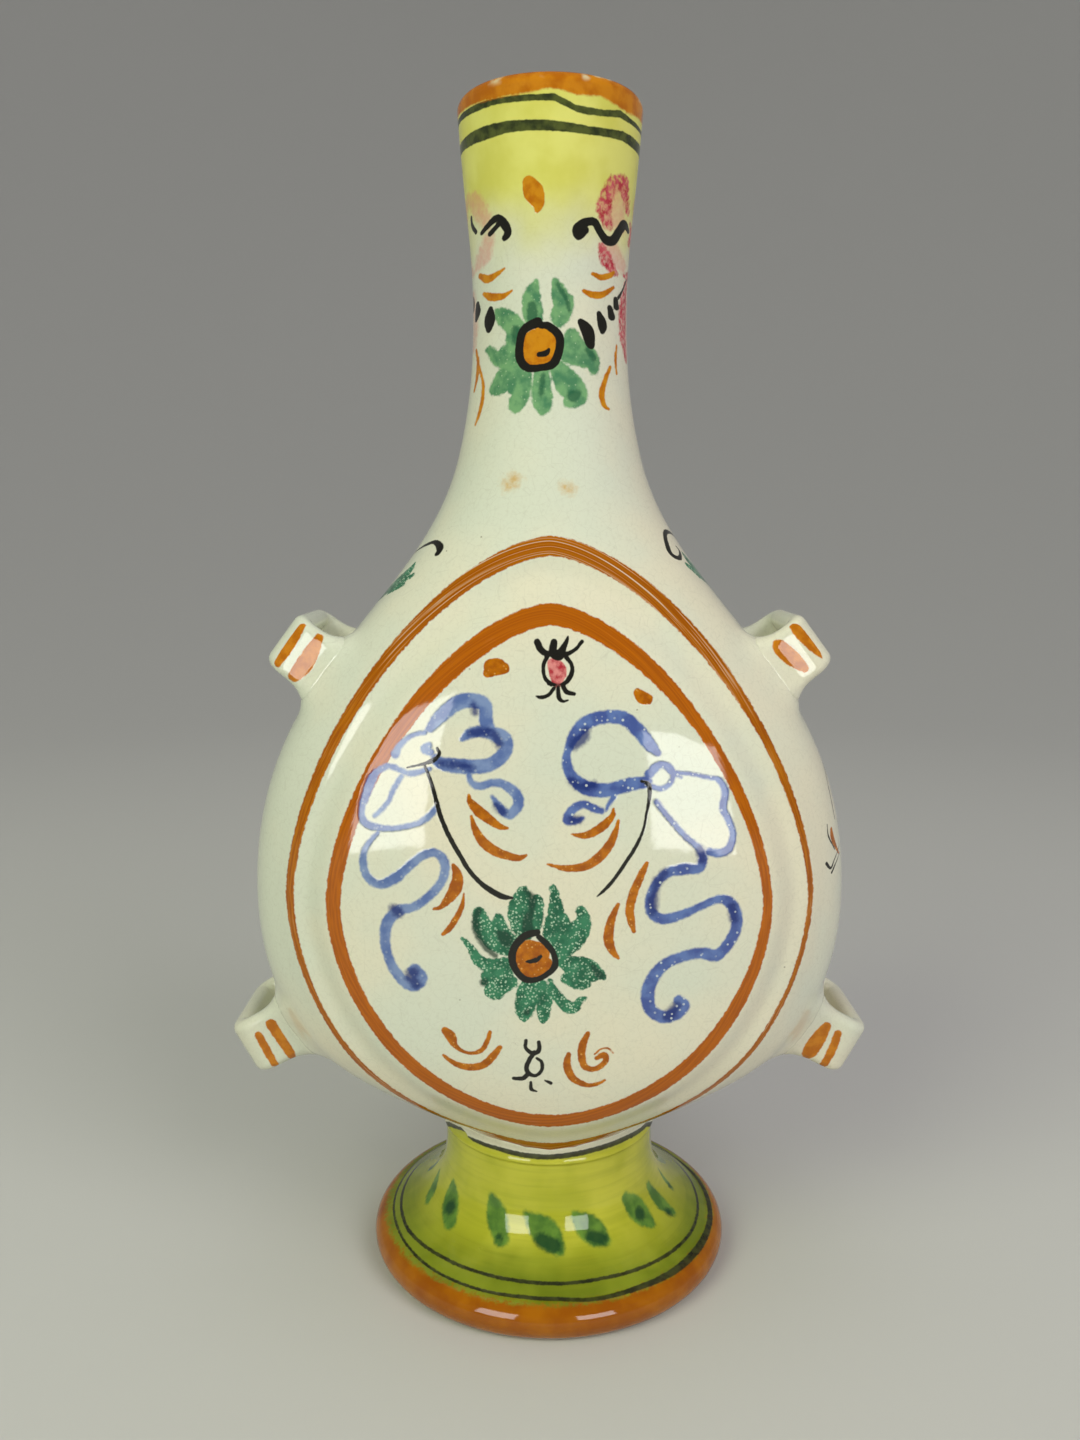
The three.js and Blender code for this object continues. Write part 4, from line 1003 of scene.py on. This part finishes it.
def paint_foot(foot):
    points = places(foot)
    degrees, behind = round_the_front(points)
    z = points[:, 2]
    bare = np.where((stem_distance(points) < -2) | (z < 1), BARE, 0.0)  # the hollow and the ring it stands on
    spots = np.stack([round_skirt(np.where(np.abs(degrees) > 90, behind, degrees)), up_skirt(z)], 1)
    depths = {}
    for colour, strokes in FOOT_STROKES.items():
        depths[colour] = brush_depth(spots, unrolled(strokes, round_skirt, up_skirt)) - bare
    depths["black"] = wheel_depth(degrees, z, FOOT_LINES + [SADDLE_LINE], up_skirt) - bare
    depths["above_saddle"] = z - wheel_line(degrees, SADDLE_LINE, 1)
    depths["climb"] = up_skirt(z)
    depths["inside"] = bare
    keep(foot, depths)


def paint_lug(lug, node):
    u, y, t = lug_local(node, places(lug)).T
    depth = brush_depth(np.stack([u, t], 1), LUG_STROKES[node])
    shown = smoothstep(np.abs(y), LUG_SPAN / 2 - LUG_BARE, LUG_SPAN / 2 - LUG_PAINTED)
    keep(lug, {"orange": depth - BRUSH_REACH * (1 - shown)})


for half in (front, back):
    paint_body(half)
paint_neck(neck)
paint_foot(foot)
for node in LUGS:
    paint_lug(pieces[node], node)


# Glazes
def shade(red, green, blue):
    """A colour as it is seen on screen, each part from 0 to 255."""
    def light(part):
        return ((part / 255 + 0.055) / 1.055) ** 2.4 if part > 10 else part / 255 / 12.92

    return light(red), light(green), light(blue), 1.0


class Recipe:
    """A node tree that is being filled; an input takes a number, a colour or another node's output."""

    def __init__(self, tree):
        self.tree = tree

    def add(self, kind, inputs=(), **settings):
        node = self.tree.nodes.new("ShaderNode" + kind)
        for key, value in settings.items():
            setattr(node, key, value)
        for key, value in dict(inputs).items():
            if isinstance(value, bpy.types.NodeSocket):
                self.tree.links.new(value, node.inputs[key])
            else:
                node.inputs[key].default_value = value
        return node

    def sum(self, operation, first, second=0.0):
        return self.add("Math", {0: first, 1: second}, operation=operation).outputs[0]

    def times(self, first, second):
        return self.sum("MULTIPLY", first, second)

    def plus(self, first, second):
        return self.sum("ADD", first, second)

    def less(self, first, second):
        return self.sum("SUBTRACT", first, second)

    def blend(self, share, under, over):
        return self.add("Mix", {0: share, 6: under, 7: over}, data_type="RGBA").outputs[2]

    def rise(self, value, low, high, start=0.0, end=1.0):
        """From start to end as the value goes from low to high, smoothly."""
        return self.add("MapRange", {0: value, 1: low, 2: high, 3: start, 4: end},
                        interpolation_type="SMOOTHSTEP").outputs[0]

    def noise(self, place, scale, detail=2.0):
        return self.add("TexNoise", {"Vector": place, "Scale": scale, "Detail": detail}).outputs[0]

    def cells(self, place, scale, feature="F1"):
        return self.add("TexVoronoi", {"Vector": place, "Scale": scale}, feature=feature).outputs["Distance"]

    def vector(self, x, y, z):
        return self.add("CombineXYZ", {0: x, 1: y, 2: z}).outputs[0]

    def kept(self, name):
        """A number kept on the piece's points."""
        return self.add("Attribute", attribute_name=name).outputs["Fac"]

    def use(self, tree, **inputs):
        named = {key.replace("_", " "): value for key, value in inputs.items()}
        return self.add("Group", named, node_tree=tree).outputs


def effect(name, inputs, outputs):
    """An empty node group with named numbers, vectors and colours going in and out."""
    tree = bpy.data.node_groups.new(name, "ShaderNodeTree")
    for label, kind in inputs.items():
        tree.interface.new_socket(label, in_out="INPUT", socket_type="NodeSocket" + kind)
    for label, kind in outputs.items():
        tree.interface.new_socket(label, in_out="OUTPUT", socket_type="NodeSocket" + kind)
    enter, leave = tree.nodes.new("NodeGroupInput"), tree.nodes.new("NodeGroupOutput")
    return Recipe(tree), enter.outputs, lambda label, value: tree.links.new(value, leave.inputs[label])


def make_brush_edge():
    """Mask of a brush stroke whose edge is soft and wavers as the brush drags."""
    inputs = {"Depth": "Float", "Place": "Vector", "Softness": "Float", "Waver": "Float"}
    r, enter, leave = effect("brush_edge", inputs, {"Mask": "Float"})
    drag = r.less(r.noise(enter["Place"], 1.2, 3.0), 0.5)
    depth = r.plus(enter["Depth"], r.times(drag, enter["Waver"]))
    leave("Mask", r.rise(depth, r.times(enter["Softness"], -1.0), enter["Softness"]))
    return r.tree


def make_kiln_specks():
    """Mask of tiny specks where the colour drew back in the kiln."""
    inputs = {"Place": "Vector", "Per mm": "Float", "Size": "Float", "Amount": "Float"}
    r, enter, leave = effect("kiln_specks", inputs, {"Mask": "Float"})
    rim, core = r.times(enter["Size"], 1.35), r.times(enter["Size"], 0.65)
    shape = r.rise(r.cells(enter["Place"], enter["Per mm"]), rim, core)
    leave("Mask", r.times(r.times(shape, enter["Amount"]), r.rise(r.noise(enter["Place"], 0.5), 0.3, 0.55)))
    return r.tree


def make_bristles():
    """Streaks that the brush's bristles leave along a band."""
    inputs = {"Across": "Float", "Around": "Vector", "Fineness": "Float"}
    r, enter, leave = effect("bristles", inputs, {"Streaks": "Float"})
    around = r.add("VectorMath", {0: enter["Around"], "Scale": 7.0}, operation="SCALE").outputs[0]
    side = r.vector(r.times(enter["Across"], enter["Fineness"]), 0.0, 0.0)
    leave("Streaks", r.noise(r.add("VectorMath", {0: around, 1: side}, operation="ADD").outputs[0], 1.0, 2.0))
    return r.tree


def make_tin_glaze():
    """Off-white tin glaze: cloudy, finely mottled, with faint crackle and a few pinholes."""
    r, enter, leave = effect("tin_glaze", {"Place": "Vector", "Warm": "Color", "Cool": "Color"},
                             {"Color": "Color", "Roughness": "Float", "Height": "Float"})
    place = enter["Place"]
    cloud = r.rise(r.noise(place, 0.03, 3.0), 0.35, 0.65)
    mottle = r.noise(place, 1.6, 3.0)
    colour = r.blend(cloud, enter["Warm"], enter["Cool"])
    colour = r.blend(r.rise(mottle, 0.45, 0.8, 0.0, 0.16), colour, shade(172, 168, 148))
    crackle = r.rise(r.cells(place, 0.42, "DISTANCE_TO_EDGE"), 0.0, 0.025, 0.10, 0.0)
    colour = r.blend(crackle, colour, shade(128, 118, 96))
    pinhole = r.rise(r.cells(place, 0.13), 0.012, 0.035, 1.0, 0.0)
    leave("Color", r.blend(r.times(pinhole, 0.55), colour, shade(112, 98, 70)))
    leave("Roughness", r.plus(r.times(mottle, 0.05), 0.03))
    swell = r.times(r.noise(place, 0.22, 1.0), 0.03)
    peel = r.times(r.noise(place, 0.9, 1.0), 0.004)
    leave("Height", r.less(r.plus(swell, peel), r.times(pinhole, 0.03)))
    return r.tree


def make_wash():
    """A colour that is thin in places and pools thick in others."""
    inputs = {"Place": "Vector", "Thin": "Color", "Thick": "Color", "Per mm": "Float"}
    r, enter, leave = effect("wash", inputs, {"Color": "Color"})
    pool = r.rise(r.noise(enter["Place"], enter["Per mm"], 3.0), 0.34, 0.66)
    leave("Color", r.blend(pool, enter["Thin"], enter["Thick"]))
    return r.tree


BRUSH_EDGE, KILN_SPECKS, BRISTLES = make_brush_edge(), make_kiln_specks(), make_bristles()
TIN_GLAZE, WASH = make_tin_glaze(), make_wash()
WARM_WHITE, COOL_WHITE = shade(230, 224, 202), shade(218, 222, 206)


class Glaze(Recipe):
    """A glaze that takes one layer of colour after another, some with a slight relief."""

    def __init__(self, name):
        self.material = bpy.data.materials.new(name)
        self.material.use_nodes = True
        super().__init__(self.material.node_tree)
        found = self.add("TexCoord").outputs["Object"]
        self.place = self.add("VectorMath", {0: found, "Scale": 1 / MM}, operation="SCALE").outputs[0]
        self.x, self.y, self.z = self.add("SeparateXYZ", {0: self.place}).outputs
        white = self.use(TIN_GLAZE, Place=self.place, Warm=WARM_WHITE, Cool=COOL_WHITE)
        self.colour, self.roughness, self.height = white["Color"], white["Roughness"], white["Height"]

    def stroke(self, depth, softness, waver):
        if isinstance(depth, str):
            depth = self.kept(depth)
        return self.use(BRUSH_EDGE, Depth=depth, Place=self.place, Softness=softness, Waver=waver)["Mask"]

    def specks(self, per_mm, size, amount):
        return self.use(KILN_SPECKS, Place=self.place, Per_mm=per_mm, Size=size, Amount=amount)["Mask"]

    def wash(self, thin, thick, per_mm):
        return self.use(WASH, Place=self.place, Thin=thin, Thick=thick, Per_mm=per_mm)["Color"]

    def cover(self, mask, colour, relief=0.0):
        self.colour = self.blend(mask, self.colour, colour)
        if relief:
            self.height = self.plus(self.height, self.times(mask, relief))

    def band(self, offset, half, around, thin, thick, dry, relief):
        """A brushed band, streaky along its run; dry is how much of the ground shows through, 0 to 1."""
        mask = self.stroke(self.less(half, self.sum("ABSOLUTE", offset)), 0.14, 0.6)
        streaks = self.use(BRISTLES, Across=offset, Around=around, Fineness=2.6)["Streaks"]
        colour = self.blend(self.rise(streaks, 0.35, 0.65), thick, thin)
        bare = self.times(self.rise(streaks, 0.52, 0.66), dry)
        self.cover(self.times(mask, self.less(1.0, bare)), colour)
        self.height = self.plus(self.height, self.times(self.times(mask, streaks), relief))

    def finish(self):
        shader = self.tree.nodes["Principled BSDF"]
        shader.inputs["Specular IOR Level"].default_value = 0.42
        bump = self.add("Bump", {"Height": self.height, "Distance": MM, "Strength": 1.0})
        looks = {"Base Color": self.colour, "Roughness": self.roughness, "Normal": bump.outputs[0]}
        for name, value in looks.items():
            self.tree.links.new(value, shader.inputs[name])
        return self.material


ORANGE, DARK_ORANGE = shade(192, 112, 2), shade(160, 82, 0)
LEAF, DARK_LEAF = shade(56, 128, 94), shade(28, 94, 68)
LINE_BLACK = shade(28, 27, 23)


def body_glaze():
    g = Glaze("painted_body_glaze")
    centre = g.vector(g.x, 0.0, g.less(g.z, CREST_LEVEL))
    around = g.add("VectorMath", {0: centre}, operation="NORMALIZE").outputs[0]
    patch = g.noise(g.place, 0.05)
    top = g.rise(g.z, 118.0, 140.0)
    g.cover(g.times(g.stroke("stain", 1.8, 3.0), 0.9), shade(206, 152, 14))
    g.band(g.kept("outer_ring"), g.kept("outer_half"), around, shade(184, 108, 4), shade(158, 82, 0),
           g.plus(g.times(top, 0.6), g.rise(patch, 0.5, 0.7, 0.0, 0.3)), 0.012)
    g.band(g.kept("inner_ring"), g.kept("inner_half"), around, shade(186, 100, 0), shade(166, 84, 0),
           g.rise(patch, 0.6, 0.75, 0.0, 0.3), 0.004)
    right = g.rise(g.x, -4.0, 4.0)
    right = g.blend(g.rise(g.y, -1.0, 1.0), right, g.less(1.0, right))
    left_blue = g.wash(shade(118, 142, 192), shade(72, 102, 170), 0.35)
    right_blue = g.wash(shade(82, 112, 182), shade(40, 70, 154), 0.35)
    g.cover(g.times(g.stroke("blue", 0.26, 0.5), 0.94), g.blend(right, left_blue, right_blue), 0.03)
    g.cover(g.times(g.stroke(g.plus(g.kept("navy"), 0.3), 0.6, 0.9), 0.85), shade(26, 44, 116))
    blue_specks = g.times(g.specks(0.85, 0.2, 0.9), g.plus(g.times(right, 0.7), 0.3))
    g.cover(g.times(g.stroke("blue", 0.3, 0.0), blue_specks), shade(206, 214, 216))
    petal = g.less(g.kept("green"), 0.14)
    g.cover(g.stroke(petal, 0.16, 0.9), g.wash(LEAF, DARK_LEAF, 0.4), 0.01)
    g.cover(g.times(g.stroke(petal, 0.2, 0.4), g.specks(1.9, 0.34, 0.9)), shade(180, 208, 182))
    g.cover(g.times(g.stroke("deep_green", 0.35, 0.8), 0.85), shade(14, 58, 44))
    g.cover(g.stroke("orange", 0.12, 0.35), g.wash(ORANGE, DARK_ORANGE, 0.6), 0.012)
    g.cover(g.times(g.stroke("orange", 0.1, 0.0), g.specks(1.1, 0.2, 0.6)), shade(224, 176, 88))
    g.cover(g.stroke("crimson", 0.15, 0.5), g.wash(shade(222, 140, 138), shade(176, 46, 60), 0.8), 0.008)
    g.cover(g.stroke(g.less(g.kept("black"), 0.1), 0.1, 0.22), LINE_BLACK, 0.012)
    return g.finish()


def neck_glaze():
    g = Glaze("painted_neck_glaze")
    outside = g.rise(g.kept("inside"), 1.0, 4.0, 1.0, 0.0)
    drift = g.times(g.less(g.noise(g.place, 0.09, 2.0), 0.5), 14.0)
    yellow = g.times(g.rise(g.plus(g.z, drift), 198.0, 216.0), outside)
    g.cover(g.times(yellow, 0.92), g.wash(shade(226, 224, 112), shade(214, 210, 84), 0.12))
    g.cover(g.stroke("olive", 0.12, 0.3), g.wash(shade(84, 92, 44), shade(46, 54, 30), 0.5), 0.01)
    g.cover(g.stroke("lip", 0.3, 0.7), g.wash(shade(206, 130, 18), shade(182, 102, 4), 0.3), 0.01)
    worn = g.rise(g.noise(g.place, 0.14, 3.0), 0.54, 0.62)
    g.cover(g.times(g.times(worn, g.rise(g.z, 228.8, 230.2)), 0.8), shade(222, 214, 176))
    faint = g.plus(g.times(g.noise(g.place, 1.2), 0.5), 0.2)
    g.cover(g.times(g.stroke("pink", 0.6, 1.4), faint), shade(216, 128, 124))
    g.cover(g.times(g.stroke("crimson", 0.3, 1.2), g.rise(g.noise(g.place, 1.3, 3.0), 0.3, 0.6, 0.45, 1.0)),
            g.wash(shade(206, 96, 104), shade(180, 42, 62), 0.5))
    petal = g.plus(g.kept("green"), 0.2)
    pale_leaf = g.wash(shade(112, 166, 112), shade(58, 126, 86), 0.4)
    g.cover(g.times(g.stroke(petal, 0.26, 0.9), 0.95), pale_leaf, 0.01)
    g.cover(g.times(g.stroke("green", 0.2, 0.4), g.specks(1.2, 0.16, 0.5)), shade(196, 214, 180))
    g.cover(g.times(g.stroke("deep_green", 0.35, 0.8), 0.8), shade(36, 92, 66))
    g.cover(g.stroke("orange", 0.12, 0.35), g.wash(shade(208, 138, 20), shade(186, 106, 4), 0.5), 0.012)
    g.cover(g.stroke("black", 0.1, 0.22), LINE_BLACK, 0.012)
    return g.finish()


def foot_glaze():
    g = Glaze("painted_foot_glaze")
    outside = g.rise(g.kept("inside"), 1.0, 4.0, 1.0, 0.0)
    wheel_turn = g.vector(g.times(g.x, 0.05), g.times(g.y, 0.05), g.times(g.kept("climb"), 0.9))
    streak = g.noise(wheel_turn, 1.0, 3.0)
    spread = g.plus(g.times(g.less(g.noise(g.place, 0.06, 2.0), 0.5), 6.0), g.times(g.less(streak, 0.5), 3.0))
    olive = g.rise(g.plus(g.z, spread), 15.0, 8.0)
    upper = g.wash(shade(200, 198, 66), shade(178, 180, 46), 0.08)
    lower = g.wash(shade(134, 146, 36), shade(108, 122, 22), 0.1)
    tint = g.blend(olive, upper, lower)
    tint = g.blend(g.rise(streak, 0.4, 0.75, 0.0, 0.22), tint, shade(122, 132, 24))
    g.cover(g.times(outside, g.rise(g.kept("above_saddle"), 0.2, -0.2)), tint)
    rim = g.times(outside, g.stroke(g.less(RIM_PAINT, g.z), 0.35, 1.1))
    g.cover(rim, g.wash(shade(172, 102, 2), shade(152, 82, 0), 0.16), 0.01)
    leaf = g.wash(shade(92, 140, 56), shade(48, 104, 46), 0.3)
    g.cover(g.times(g.stroke("green", 0.5, 0.9), 0.9), leaf, 0.01)
    g.cover(g.times(g.stroke("deep_green", 0.6, 0.9), 0.85), shade(20, 62, 38))
    line = g.wash(shade(58, 62, 32), shade(26, 28, 20), 0.5)
    g.cover(g.times(g.stroke("black", 0.14, 0.35), 0.95), line, 0.01)
    foot_clay = g.rise(g.z, 1.1, 0.3)
    g.cover(foot_clay, g.wash(shade(206, 178, 142), shade(176, 142, 106), 0.5))
    g.roughness = g.plus(g.roughness, g.times(foot_clay, 0.55))
    return g.finish()


def lug_glaze():
    g = Glaze("painted_lug_glaze")
    g.cover(g.stroke("orange", 0.14, 0.5), g.wash(shade(206, 128, 22), shade(184, 104, 4), 0.5), 0.012)
    return g.finish()


glazes = {
    "glaze_body": body_glaze(),
    "glaze_neck": neck_glaze(),
    "glaze_foot": foot_glaze(),
    "glaze_lug": lug_glaze(),
}
for node, piece in pieces.items():
    piece.data.materials.clear()
    piece.data.materials.append(glazes[slots.get(node, "glaze_lug")])


# Camera, floor and light
LENS, SENSOR = 29.125, 36  # millimetres
EYE, LOOK_DOWN = (-0.0019, -0.235, 0.1516), 9.2  # metres, degrees
FLOOR, COVE = 700, 1700  # millimetres: the floor's flat radius, and the curve that turns it up
camera = bpy.data.objects.new("camera", bpy.data.cameras.new("camera"))
bpy.context.scene.collection.objects.link(camera)
camera.data.lens = LENS
camera.data.sensor_fit = "VERTICAL"
camera.data.sensor_height = SENSOR
camera.location = EYE
camera.rotation_euler = (math.radians(90 - LOOK_DOWN), 0, 0)
bpy.context.scene.camera = camera
bpy.context.scene.view_settings.view_transform = "Standard"

cove = np.vstack([[(0, 0)], arc((FLOOR, COVE), COVE, -90, -5, 40)])
sweep = rolled("floor_sweep", cove, 128)
paper = bpy.data.materials.new("pale_paper")
paper.use_nodes = True
matt = paper.node_tree.nodes["Principled BSDF"].inputs
matt["Base Color"].default_value = (0.6, 0.595, 0.58, 1)
matt["Roughness"].default_value = 0.9
sweep.data.materials.append(paper)


def softbox(name, place, aim, size, power, tint=(1, 1, 1)):
    """A lit rectangle; places and sizes in metres, power in watts."""
    lamp = bpy.data.objects.new(name, bpy.data.lights.new(name, "AREA"))
    bpy.context.scene.collection.objects.link(lamp)
    lamp.data.shape = "RECTANGLE"
    lamp.data.size, lamp.data.size_y = size
    lamp.data.energy = power
    lamp.data.color = tint
    lamp.location = place
    lamp.rotation_euler = (aim - Vector(place)).to_track_quat("-Z", "Y").to_euler()
    return lamp


# The windows are seen only as reflections in the glaze, and the others only light the surfaces
middle = Vector((0, 0, 0.1))
softbox("left_window", (-0.15, -0.26, 0.13), middle, (0.12, 0.15), 0.4).visible_diffuse = False
softbox("right_window", (0.125, -0.26, 0.11), middle, (0.11, 0.11), 0.28).visible_diffuse = False
softbox("left_key", (-0.5, -0.6, 0.58), middle, (0.5, 0.5), 4.1, (0.93, 1.0, 0.74)).visible_glossy = False
softbox("right_key", (0.5, -0.6, 0.58), middle, (0.5, 0.5), 3.7, (1.0, 0.97, 0.95)).visible_glossy = False
softbox("ceiling_light", (0, 0.2, 2.6), middle, (3.0, 3.0), 19).visible_glossy = False
world = bpy.data.worlds.new("studio")
bpy.context.scene.world = world
world.use_nodes = True
sky = world.node_tree.nodes["Background"].inputs
sky["Color"].default_value = (0.8, 0.8, 0.8, 1)
sky["Strength"].default_value = 0.16
